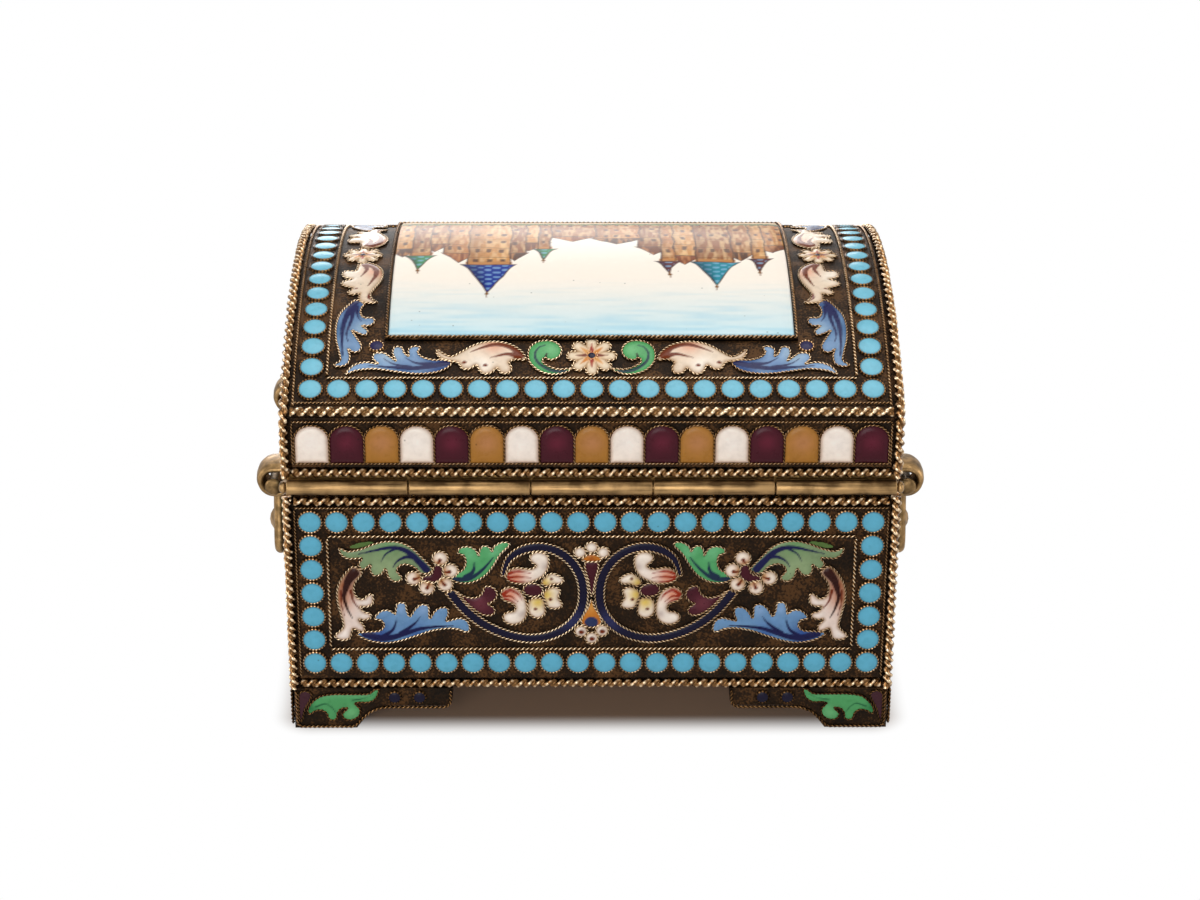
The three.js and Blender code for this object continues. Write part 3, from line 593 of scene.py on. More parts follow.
# Arches of enamel along the lid's band, each under its own wire; a colour has its wash and rim
archBand = {"count": 17, "pitch": 4.46, "foot": 39.1, "crown": 44.5, "round": 2.05, "inset": 0.12,
            "wearAndHighlight": 0.75, "bulge": 0.3, "washHeight": 42.2, "topLine": 44.95, "sideLine": 38.15,
            "sideSpan": (38.9, 44.7),
            "colours": [("white", "#FFFBF5", 1.6, "#C8AA94"), ("maroon", "#602032", 1.2, None),
                        ("ochre", "#B88254", 1.5, None)]}


def archLine(centre, inset=0.0):
    # up the left side, over a half round, and down the right side
    half, spring = archBand["pitch"] / 2 - inset, archBand["crown"] - archBand["round"]
    turn, foot = np.linspace(math.pi, 0, 18), archBand["foot"] + inset
    over = np.stack([centre + half * np.cos(turn), spring + (archBand["round"] - inset) * np.sin(turn)], -1)
    return np.vstack([(centre - half, foot), over, (centre + half, foot)])


def archRow(count):
    enamel, wires = [], []
    for i in range(count):
        centre = archBand["pitch"] * (i - (count - 1) / 2)
        colour, wash, radius, rim = archBand["colours"][i % len(archBand["colours"])]
        line = archLine(centre, archBand["inset"])
        edge = evenly(np.vstack([line, line[:1]]), cell["step"], True)
        washes = [(wash, (centre, archBand["washHeight"]), radius)]
        enamel.append(enamelCell(edge, colour, washes, crown=archBand["bulge"], rim=rim))
        wires.append(twistedWire(archLine(centre)[:-1], wearAndHighlight=archBand["wearAndHighlight"]))
    end, foot = archBand["pitch"] * count / 2, archBand["foot"]
    wires.append(twistedWire([(end, foot), (end, archBand["crown"] - archBand["round"])], **edgeWire))
    wires.append(twistedWire([(-end, foot), (end, foot)], **edgeWire))
    return joined(enamel), joined(wires)


# Border of the dome: one corner, which is mirrored both ways, and the flowers between
creamLeaf = {"base": "cream", "crown": 0.3, "rim": "burnt"}
domeCorner = {
    "cells": [{
        "outline": [
            (-30.8, -12.4), (-31.9, -13.8), (-32.8, -15.6), (-33.15, -18.0), (-33.0, -20.5), (-32.5, -22.7),
            (-32.3, -24.2), (-33.1, -25.0), (-32.2, -25.2), (-31.3, -24.7), (-31.1, -23.4), (-31.4, -22.1),
            (-30.8, -22.7), (-30.0, -22.6), (-29.7, -21.6), (-30.4, -20.1), (-31.1, -18.7), (-30.3, -19.2),
            (-29.3, -19.6), (-29.0, -18.8), (-29.8, -17.8), (-28.8, -17.8), (-28.2, -17.0), (-28.5, -16.25),
            (-29.6, -16.2), (-30.1, -15.2), (-30.0, -14.0), (-29.7, -13.3)],
        "base": "#6E8CAE",
        "washes": [("#2C4878", (-31.2, -13.8), 2.4), ("#4C6C92", (-32.6, -18.4), 1.8),
                   ("#94AEC2", (-29.6, -18.4), 1.0)],
        "strokes": [
            ("vein", 0.7, 0.15, [(-30.8, -13.0), (-31.6, -15.0), (-32.2, -18.0), (-32.2, -21.0),
                                 (-32.0, -23.4)]),
            ("vein", 0.5, 0.1, [(-31.0, -14.2), (-31.2, -16.8), (-31.7, -19.4), (-31.4, -21.0)]),
            ("vein", 0.4, 0.1, [(-30.6, -14.0), (-30.4, -16.0), (-29.9, -17.0)])],
    }, {
        "outline": [
            (-18.0, -24.6), (-18.9, -25.7), (-20.6, -26.3), (-22.8, -26.4), (-25.5, -26.0), (-28.0, -25.6),
            (-30.2, -25.9), (-31.4, -26.5), (-31.1, -25.7), (-30.3, -24.9), (-28.9, -24.5), (-27.4, -24.8),
            (-28.1, -23.9), (-27.9, -23.0), (-26.8, -22.9), (-25.9, -23.6), (-25.1, -24.3), (-25.6, -23.0),
            (-25.4, -21.9), (-24.5, -21.9), (-24.1, -22.9), (-23.5, -23.5), (-23.6, -22.3), (-22.9, -21.7),
            (-22.1, -21.9), (-22.4, -22.7), (-21.8, -23.6), (-20.4, -24.1), (-19.0, -24.1)],
        "base": "steel",
        "washes": [("#2A4478", (-19.6, -25.0), 2.4), ("#4C6C9A", (-24.0, -25.8), 1.4),
                   ("#9CB2C2", (-26.0, -23.2), 1.2)],
        "strokes": [
            ("vein", 0.7, 0.12, [(-18.6, -24.6), (-20.4, -25.2), (-23.0, -25.6), (-25.8, -25.4),
                                 (-28.6, -25.1)]),
            ("vein", 0.45, 0.1, [(-20.6, -24.9), (-22.6, -24.7), (-23.9, -23.8)]),
            ("vein", 0.35, 0.1, [(-23.2, -25.4), (-25.4, -24.9), (-26.7, -24.0)])],
    }, creamLeaf | {
        "outline": [
            (-29.9, -2.7), (-29.0, -3.1), (-28.0, -4.3), (-27.6, -6.0), (-27.8, -7.8), (-28.5, -9.6),
            (-29.0, -11.1), (-28.6, -12.4), (-28.0, -13.0), (-29.0, -13.1), (-30.2, -12.7), (-30.5, -11.7),
            (-30.5, -10.9), (-31.4, -11.2), (-32.0, -10.6), (-31.4, -9.7), (-32.5, -9.1), (-33.0, -8.5),
            (-32.5, -7.8), (-31.6, -7.3), (-32.6, -6.9), (-33.0, -6.0), (-32.6, -5.1), (-31.4, -5.1),
            (-31.1, -4.2), (-31.0, -3.2)],
        "washes": [("milk", (-32.0, -7.0), 1.4), ("blush", (-28.2, -5.6), 1.6)],
        "strokes": [("umber", 0.85, 0.12, [(-29.7, -3.5), (-28.7, -4.6), (-28.5, -6.6), (-29.4, -9.4)]),
                    ("umber", 0.6, 0.1, [(-30.2, -3.6), (-29.8, -5.1), (-30.5, -7.0)]),
                    ("brown", 0.4, 0.1, [(-29.0, -11.2), (-29.2, -12.2), (-28.4, -12.8)]),
                    ("brown", 0.3, 0.3, [(-32.0, -7.7), (-31.9, -7.7)]),
                    ("brown", 0.25, 0.25, [(-31.0, -10.0), (-30.9, -10.0)])],
    }, creamLeaf | {
        "outline": [
            (-19.9, -22.3), (-19.0, -23.1), (-18.0, -23.5), (-16.9, -22.8), (-15.5, -21.7), (-13.8, -20.95),
            (-11.8, -20.9), (-10.1, -21.6), (-8.9, -22.8), (-8.5, -24.1), (-9.6, -24.0), (-10.6, -24.5),
            (-10.3, -25.4), (-10.6, -26.3), (-11.6, -26.3), (-12.2, -25.5), (-12.8, -26.2), (-13.7, -26.5),
            (-14.4, -25.9), (-14.8, -25.0), (-15.6, -25.6), (-16.6, -25.6), (-17.1, -24.7), (-18.0, -24.3),
            (-19.2, -24.0), (-19.9, -23.1)],
        "washes": [("milk", (-14.2, -25.0), 1.5), ("blush", (-12.6, -21.4), 1.6)],
        "strokes": [("umber", 0.9, 0.1, [(-9.2, -23.3), (-10.4, -22.0), (-12.6, -21.6), (-15.6, -22.9)]),
                    ("umber", 0.62, 0.1, [(-9.3, -23.7), (-10.9, -23.3), (-13.0, -23.9)]),
                    ("brown", 0.35, 0.35, [(-16.4, -24.7), (-16.3, -24.7)]),
                    ("brown", 0.35, 0.35, [(-13.7, -25.2), (-13.6, -25.2)])],
    }, {
        "outline": [
            (-8.2, -23.2), (-7.9, -21.8), (-6.9, -20.85), (-5.6, -20.6), (-4.4, -21.2), (-3.9, -22.4),
            (-4.3, -23.6), (-5.3, -24.1), (-6.1, -23.7), (-6.3, -24.5), (-5.4, -25.3), (-4.2, -25.7),
            (-2.6, -25.6), (-3.6, -26.3), (-5.2, -26.5), (-6.8, -25.9), (-7.9, -24.6)],
        "base": "#4E9A5C", "washes": [("#66AC70", (-5.2, -22.4), 0.9)],
        "strokes": [("#12323A", 0.5, 0.14, [(-3.4, -26.1), (-5.4, -25.8), (-6.9, -24.6), (-7.3, -23.2),
                                            (-6.8, -22.0), (-6.0, -21.6)]),
                    ("#2A2420", 0.25, 0.2, [(-5.9, -23.5), (-5.8, -23.1)])],
    }],
    "dot": ((-27.75, -21.6), 0.88, "#231F45"),
    "endFlower": ((0.0, -23.4), 3.2), "crestFlower": ((-30.6, 0.0), 2.6),
}


# A round flower: one cell with a deeply lobed edge, a stroke down each petal and between petals, and a blue
# heart; lengths are shares of its size
bloom = {"petals": 8, "notch": 0.32, "inks": ["brown", "orange", "red", "tan"], "inkSpan": (0.24, 0.64),
         "gapSpan": (0.4, 0.72), "wash": 0.46, "heart": 0.22, "base": "#E2D0B4"}


def flowerMotif(centre, size):
    petals, notch = bloom["petals"], bloom["notch"]
    turn = fullTurn(6 * petals)
    reach = size * (1 - notch + notch * np.abs(np.cos(petals * turn / 2)) ** 0.6)
    out = size * np.stack([np.cos(fullTurn(2 * petals)), np.sin(fullTurn(2 * petals))], -1)
    inks, strokes = bloom["inks"], []
    for i, o in enumerate(out[::2]):
        strokes.append((inks[i % len(inks)], 0.42, 0.1, [centre + share * o for share in bloom["inkSpan"]]))
    for o in out[1::2]:
        strokes.append(("burnt", 0.12, 0.3, [centre + share * o for share in bloom["gapSpan"]]))
    flower = {"outline": np.array(centre) + np.stack([reach * np.cos(turn), reach * np.sin(turn)], -1),
              "base": bloom["base"], "rim": "burnt", "strokes": strokes,
              "washes": [("tan", centre, bloom["wash"] * size)]}
    return motif([flower], [(centre, bloom["heart"] * size, "navy")])


def domeBorder():
    corner = motif(domeCorner["cells"], [domeCorner["dot"]])
    flowers = flowerMotif(*domeCorner["endFlower"]), flowerMotif(*domeCorner["crestFlower"])
    border = []
    for part, endFlower, crestFlower in zip(corner, *flowers):
        left = joined([part, mirrored(part, 1)])
        border.append(joined([left, mirrored(left), endFlower, mirrored(endFlower, 1), crestFlower,
                              mirrored(crestFlower)]))
    return border


# Materials
def newShading(store, name):
    owner = store.new(name)
    owner.use_nodes = True
    owner.node_tree.nodes.clear()
    return owner


def addNode(owner, kind, inputs=None, **settings):
    # an input takes a plain value, a socket, or a node for its first output
    node = owner.node_tree.nodes.new("ShaderNode" + kind)
    for key, value in settings.items():
        setattr(node, key, value)
    for key, value in (inputs or {}).items():
        value = value.outputs[0] if isinstance(value, bpy.types.Node) else value
        if isinstance(value, bpy.types.NodeSocket):
            owner.node_tree.links.new(value, node.inputs[key])
        else:
            node.inputs[key].default_value = value
    return node


def newMaterial(name):
    # with its Object coordinates, in metres, and the tint of its points
    m = newShading(bpy.data.materials, name)
    where = addNode(m, "TexCoord").outputs["Object"]
    return m, where, addNode(m, "Attribute", attribute_name="tint").outputs


def finishMaterial(m, inputs):
    addNode(m, "OutputMaterial", {"Surface": addNode(m, "BsdfPrincipled", inputs)})
    return m


def colour4(colour):
    return (*linear(colour), 1.0)


def fillRamp(node, stops):
    ramp = node.color_ramp
    for place, _ in stops[1:-1]:
        ramp.elements.new(place)
    for element, (place, colour) in zip(ramp.elements, stops):
        element.position = place
        element.color = colour4(colour)


# Twisted silver wire, fire gilt: bright where fingers rub the strands and where highlights are painted on
# their crests, brown tarnish down between them, and darker where shade is painted on their lower sides
wireGilt = {"stops": [(0.12, "#1A1109"), (0.62, "#7E5A36"), (1.0, "#DEC6A4")], "mottle": 1.6,
            "uneven": (0.55, -0.27), "rough": (0.2, 0.38)}


def wireGiltMaterial(name):
    m, where, tint = newMaterial(name)
    cloud = addNode(m, "TexNoise", {"Vector": where, "Scale": metre / wireGilt["mottle"], "Detail": 4.0})
    gain, shift = wireGilt["uneven"]
    worn = addNode(m, "Math", {0: cloud, 1: gain, 2: shift}, operation="MULTIPLY_ADD")
    level = addNode(m, "Math", {0: tint["Fac"], 1: worn}, operation="ADD")
    colour = addNode(m, "ValToRGB", {"Fac": level})
    fillRamp(colour, wireGilt["stops"])
    smooth, dull = wireGilt["rough"]
    rough = addNode(m, "MapRange", {"Value": cloud, "To Min": smooth, "To Max": dull})
    return finishMaterial(m, {"Base Color": colour, "Metallic": 1.0, "Roughness": rough})


# Plain gilt of hinge, lugs and handles: drawn or cast, then burnished, with fine scratches that break
# the shine and patches gone dull
plainGilt = {"gold": "#A08056", "places": (0.38, 0.6), "rubAndHighlight": 0.5, "rough": (0.56, 0.4),
             "scratchDepth": 0.05, "scratchShow": 0.5}


def plainGiltMaterial(name, scratches, patchSize, dull):
    m, where, tint = newMaterial(name)
    along = addNode(m, "Mapping", {"Vector": where, "Scale": scratches})
    fine = addNode(m, "TexNoise", {"Vector": along, "Scale": 1.0, "Detail": 3.0})
    patch = addNode(m, "TexNoise", {"Vector": where, "Scale": metre / patchSize, "Detail": 5.0})
    mixed = addNode(m, "Math", {0: fine, 1: patch}, operation="MULTIPLY")
    # the piece's tint lifts the gold; on the hinge it holds a painted reflection and highlights, on the
    # bails painted shade at the ends
    mixed = addNode(m, "Math", {0: tint["Fac"], 1: plainGilt["rubAndHighlight"], 2: mixed}, operation="MULTIPLY_ADD")
    colour = addNode(m, "ValToRGB", {"Fac": mixed})
    fillRamp(colour, list(zip(plainGilt["places"], (dull, plainGilt["gold"]))))
    worn, bright = plainGilt["rough"]
    rough = addNode(m, "MapRange", {"Value": patch, "To Min": worn, "To Max": bright})
    bump = addNode(m, "Bump", {"Height": fine, "Strength": plainGilt["scratchShow"],
                               "Distance": plainGilt["scratchDepth"] / metre})
    return finishMaterial(m, {"Base Color": colour, "Metallic": 1.0, "Roughness": rough, "Normal": bump})


# Silver sheet: outside, matted with a fine punch and oxidised brown, so grainy and dull; inside, plain
# gilt. The gilt side is nearer the middle than the walls' inner faces and the middle of the dome plate,
# or lies on the plain strip at the joint line
matGround = {"stops": [(0.62, "#120B05"), (0.87, "#291B0E"), (1.0, "#523820")], "grain": 0.3, "cloud": 4.6,
             "grainShare": 0.7, "punch": 0.12, "punchShow": 0.7, "metal": 0.15, "rough": 0.62, "gloss": 0.1,
             "inside": "#A5814F", "insideRough": 0.36, "skin": 0.1, "domeSkin": 0.6, "stripHalf": 1.28}


def matGroundMaterial(name):
    m, where, _ = newMaterial(name)
    grain = addNode(m, "TexNoise", {"Vector": where, "Scale": metre / matGround["grain"], "Detail": 2.0})
    cloud = addNode(m, "TexNoise", {"Vector": where, "Scale": metre / matGround["cloud"], "Detail": 6.0})
    level = addNode(m, "Math", {0: grain, 1: matGround["grainShare"], 2: cloud}, operation="MULTIPLY_ADD")
    colour = addNode(m, "ValToRGB", {"Fac": level})
    fillRamp(colour, matGround["stops"])
    axis = Vector((0.0, midY, domeCentreZ)) / metre
    fromAxis = addNode(m, "VectorMath", {0: where, 1: axis}, operation="SUBTRACT")
    apart = addNode(m, "VectorMath", {0: fromAxis}, operation="ABSOLUTE")
    apart = addNode(m, "SeparateXYZ", {0: apart}).outputs
    section = addNode(m, "VectorMath", {0: fromAxis, 1: (0.0, 1.0, 1.0)}, operation="MULTIPLY")
    reach = addNode(m, "VectorMath", {0: section}, operation="LENGTH").outputs["Value"]
    innerX = nodeBox("right_wall")[0][0] + matGround["skin"]
    innerY = nodeBox("back_wall")[0][1] - midY + matGround["skin"]
    underDome = domeRadius - matGround["domeSkin"]
    gilt = 1.0
    for gap, limit in ((apart["X"], innerX), (apart["Y"], innerY), (reach, underDome)):
        within = addNode(m, "Math", {0: gap, 1: limit / metre}, operation="LESS_THAN")
        gilt = addNode(m, "Math", {0: gilt, 1: within}, operation="MINIMUM")
    height = addNode(m, "SeparateXYZ", {0: where}).outputs["Z"]
    jointZ = np.mean([corner[2] for corner in nodeBox("hinge_knuckle_1")])
    strip = {0: height, 1: jointZ / metre, 2: matGround["stripHalf"] / metre}
    strip = addNode(m, "Math", strip, operation="COMPARE")
    gilt = addNode(m, "Math", {0: gilt, 1: strip}, operation="MAXIMUM")
    mix = addNode(m, "Mix", {"Factor": gilt, "A": colour.outputs[0], "B": colour4(matGround["inside"])},
                  data_type="RGBA")
    metal = addNode(m, "MapRange", {"Value": gilt, "To Min": matGround["metal"], "To Max": 1.0})
    rough = addNode(m, "MapRange", {"Value": gilt, "To Min": matGround["rough"],
                                    "To Max": matGround["insideRough"]})
    bump = addNode(m, "Bump", {"Height": grain, "Strength": matGround["punchShow"],
                               "Distance": matGround["punch"] / metre})
    return finishMaterial(m, {"Base Color": mix.outputs["Result"], "Metallic": metal, "Roughness": rough,
                              "Specular IOR Level": matGround["gloss"], "Normal": bump})


# Glass enamel, fired and lightly stoned: clear gloss, faint clouding and a few burst bubbles
firedEnamel = {"cloud": 0.9, "pit": 2.3, "pitEdge": (0.03, 0.07), "pitDark": 0.55, "ripple": 0.1,
               "rippleShow": 0.12, "glassIndex": 1.52}


def firedEnamelMaterial(name, roughness, clouding, gloss):
    m, where, tint = newMaterial(name)
    cloud = addNode(m, "TexNoise", {"Vector": where, "Scale": metre / firedEnamel["cloud"], "Detail": 5.0})
    share = addNode(m, "MapRange", {"Value": cloud, "From Min": 0.3, "From Max": 0.7,
                                    "To Min": 1 - clouding, "To Max": 1 + clouding})
    pits = addNode(m, "TexVoronoi", {"Vector": where, "Scale": metre / firedEnamel["pit"]})
    inner, outer = firedEnamel["pitEdge"]
    pit = addNode(m, "MapRange", {"Value": pits, "From Min": inner, "From Max": outer,
                                  "To Min": firedEnamel["pitDark"], "To Max": 1.0})
    level = addNode(m, "Math", {0: share, 1: pit}, operation="MULTIPLY")
    shade = addNode(m, "VectorMath", {0: tint["Color"], "Scale": level.outputs[0]}, operation="SCALE")
    rough = addNode(m, "MapRange", {"Value": cloud, "To Min": roughness[0], "To Max": roughness[1]})
    bump = addNode(m, "Bump", {"Height": cloud, "Strength": firedEnamel["rippleShow"],
                               "Distance": firedEnamel["ripple"] / metre})
    return finishMaterial(m, {"Base Color": shade, "Roughness": rough, "IOR": firedEnamel["glassIndex"],
                              "Specular IOR Level": gloss, "Normal": bump})


giltWire = wireGiltMaterial("fireGiltWire")
hingeGilt = plainGiltMaterial("drawnGiltTube", (120.0, 2600.0, 2600.0), 2.4, "#4A3722")
castGilt = plainGiltMaterial("burnishedGilt", (900.0, 900.0, 900.0), 1.6, "#644F33")
ground = matGroundMaterial("oxidisedGround")
enamelGlass = firedEnamelMaterial("firedEnamel", (0.2, 0.38), 0.06, 0.11)
plaqueGlass = firedEnamelMaterial("paintedEnamel", (0.22, 0.3), 0.01, 0.02)
print("materials ready")

# CAD pieces that keep their own shape: walls, plates, feet and the inner rim
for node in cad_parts.values():
    node.data.materials.clear()
    node.data.materials.append(ground)

# Rope mouldings: two round strands laid together, each of finer plies, each rope in the place of its node;
# a set has its lay and how much rubbing and painted highlight brighten its crests
rope = {"stations": 12, "sides": 16, "strand": 0.55, "ply": 0.46, "plyDepth": 0.1, "uneven": 0.3,
        "swell": 0.06, "tarnish": 0.44, "shine": 0.7, "plyShine": 0.34, "crest": (0.66, 0.96),
        "archEdge": 0.014, "archDrop": 1.0}
fourSides = ("front", "back", "left", "right")
ropeSets = {
    "baseRopes": ("body", 1.26, 0.74, [f"base_rope_{s}" for s in fourSides]),
    "mouthRopes": ("body", 1.38, 0.88, [f"mouth_rope_{s}" for s in fourSides]),
    "cornerRopes": ("body", 1.15, 1.0,
                    [f"corner_rope_{s}_{e}" for s in fourSides[:2] for e in fourSides[2:]]),
    "lidRopes": ("lid", 1.24, 0.84, [f"lid_rope_{s}" for s in fourSides]),
    "springRopes": ("lid", 1.36, 1.15, [f"spring_rope_{s}" for s in fourSides[:2]]),
    "archRopes": ("lid", 1.4, 0.9, [f"arch_rope_{s}" for s in fourSides[2:]]),
}


def ropePart(path, radius, lay, rubAndHighlight):
    # the two-strand section carried along the path, turning half a turn for each lay
    line = evenly(path, lay / rope["stations"])
    along = unit(np.gradient(line, axis=0))
    level = (1.0, 0.0, 0.0) if np.ptp(line[:, 0]) < 1e-6 else (0.0, 0.0, 1.0)
    side = unit(np.cross(along, level))
    up = np.cross(side, along)
    lays = np.arange(len(line)) / rope["stations"]
    knots = np.arange(int(lays[-1]) + 2)
    waver, fatter = (np.interp(lays, knots, rng.normal(size=len(knots)))[:, None] for _ in range(2))
    twist = math.pi * lays[:, None] + rope["uneven"] * waver
    turn = fullTurn(rope["sides"])
    reach = strandReach(turn - twist, radius, rope["strand"])
    ply = np.cos(2 * math.pi * lay * lays[:, None] / rope["ply"] + 3 * (turn - twist))
    low, high = rope["crest"]
    crest = np.clip((reach / radius - low) / (high - low), 0, 1) ** 1.4
    # painted highlight: the strand crests are lighter, from rubbing and from broken highlight dots painted
    # along the plies
    wearAndHighlight = rope["tarnish"] + rope["shine"] * rubAndHighlight * crest * (1 - rope["plyShine"] * (1 - ply))
    reach = reach * (1 - rope["plyDepth"] * (0.5 - 0.5 * ply))
    reach = np.minimum(reach * (1 + rope["swell"] * fatter), radius)[..., None]
    turn = turn[:, None]
    points = line[:, None] + side[:, None] * reach * np.cos(turn) + up[:, None] * reach * np.sin(turn)
    return capped(gridPart(points, wearAndHighlight, closeColumns=True, flip=True), rope["sides"])


def straightAxis(node):
    low, high = nodeBox(node)
    run = int(np.argmax(high - low))
    ends = np.array([low + high, low + high]) / 2
    ends[:, run] = low[run], high[run]
    return ends, (high - low)[(run + 1) % 3] / 2


def archAxis(node):
    # up from the foot, over the dome's arc and down again
    low, high = nodeBox(node)
    radius, x = (high[0] - low[0]) / 2, (low[0] + high[0]) / 2
    reach, archRadius = (high[1] - low[1]) / 2 - radius, high[2] - radius - domeCentreZ
    edge = math.asin(reach / archRadius) - rope["archEdge"]
    turn = np.linspace(-edge, edge, 60)
    arc = np.stack([x + 0 * turn, midY + archRadius * np.sin(turn),
                    domeCentreZ + archRadius * np.cos(turn)], -1)
    foot = [(x, midY - reach, low[2]), (x, midY - reach, arc[0][2] - rope["archDrop"])]
    return np.vstack([foot, arc, [(x, 2 * midY - y, z) for _, y, z in reversed(foot)]]), radius


for name, (body, lay, rubAndHighlight, nodes) in ropeSets.items():
    runs = [archAxis(n) if n.startswith("arch") else straightAxis(n) for n in nodes]
    ropes = [ropePart(path, radius, lay, rubAndHighlight) for path, radius in runs]
    makePiece(name, joined(ropes), giltWire, body, nodes)
print("ropes laid")


# Enamel and wires of one or more panels, as two pieces
def layEnamel(name, panels, body):
    enamel, wires = (joined([laidOn(surface, parts[k]) for surface, parts in panels]) for k in (0, 1))
    makePiece(f"{name}Enamel", enamel, enamelGlass, body)
    makePiece(f"{name}Wires", wires, giltWire, body)


def edgeLines(panel):
    # a wire along the top of a panel and one up each side
    side, top, (low, high) = panel["sideLine"], panel["topLine"], panel["sideSpan"]
    lines = [[(-side, top), (side, top)]] + [[(s * side, low), (s * side, high)] for s in bothWays]
    return [twistedWire(line, **edgeWire) for line in lines]


# Long walls of the body
foliage = wallFoliage()
beads = beadBorder(borderSpots(wallPanel), "turquoise")
wires = joined([foliage[1], beads[1], *frameWires(*wallPanel["frame"]), *edgeLines(wallPanel)])
wall = joined([foliage[0], beads[0]]), wires
layEnamel("back", [(onBack, wall)], "body")
layEnamel("front", [(onFront, wall)], "body")
print("long walls enamelled")

# Bands of arches on the lid
arches = archRow(archBand["count"])
band = arches[0], joined([arches[1], *edgeLines(archBand)])
layEnamel("lidBack", [(onBack, band)], "lid")
layEnamel("lidFront", [(onFront, band)], "lid")
print("lid bands enamelled")

# Dome: bead border, foliage and the wires between
border = domeBorder()
beads = beadBorder(borderSpots(domePanel), "lidTurquoise", domePanel["ringWearAndHighlight"])
line, side, outer = domePanel["frameLine"], domePanel["sideLine"], domePanel["outerLine"]
end, span, rim = line - domePanel["gap"], domePanel["outerSpan"], domePanel["rimLine"]
wires = [twistedWire([(-side, s * line), (side, s * line)]) for s in bothWays]
wires += [twistedWire([(s * side, -end), (s * side, end)], **domePanel["sideWire"]) for s in bothWays]
wires += [twistedWire([(s * outer, -span), (s * outer, span)], **domePanel["outerWire"]) for s in bothWays]
wires += [twistedWire([(-outer, s * rim), (outer, s * rim)], **edgeWire) for s in bothWays]
dome = joined([border[0], beads[0]]), joined([border[1], beads[1], *wires])
layEnamel("dome", [(onDome, dome)], "lid")
print("dome enamelled")

# Painted plaque: an old town behind a square, the right way up from the front.
# A house is (middle, width, eave, ridge), a tower (middle, half width, eave, tip, roof)
plaque = {
    "step": 0.156, "crown": 0.12, "bevel": 1.5, "sheet": 0.6, "turnedEdge": 0.5, "ground": -15.5,
    "houses": [(-24.4, 5.4, -2.4, 0.6), (-20.0, 3.8, 0.2, 3.0), (-12.6, 4.4, 1.4, 4.2),
               (-8.6, 4.6, -1.8, 1.0), (-3.6, 6.4, -5.4, -2.8), (2.6, 6.6, -6.4, -4.0),
               (8.4, 5.6, -3.4, -0.2), (10.2, 3.0, 0.4, 3.0), (17.6, 4.6, 0.4, 3.6),
               (21.2, 3.8, -2.8, 0.2), (25.0, 4.4, -1.0, 1.8)],
    "towers": [(-22.6, 0.9, 2.4, 6.2, "#5E2E30"), (-16.6, 2.4, 3.4, 9.6, "#2E8494"),
               (-10.4, 0.8, 3.2, 6.6, "#5E2E30"), (6.2, 0.8, -1.0, 2.6, "#3F8455"),
               (13.6, 2.8, 4.2, 11.6, "#24388A"), (22.8, 1.2, 1.4, 5.6, "#3F8455")],
    "walls": ["#AE7036", "#9A602E", "#BE8444", "#8C542A"], "roofs": ["#6E3C20", "#52321F", "#7E4222"],
    "line": "#46230E",
}


def soft(gap, width=0.2):
    return np.clip(0.5 - gap / width, 0, 1)


def boxGap(across, up, half, low, high):
    return np.maximum(np.abs(across) - half, np.abs(up - (low + high) / 2) - (high - low) / 2)


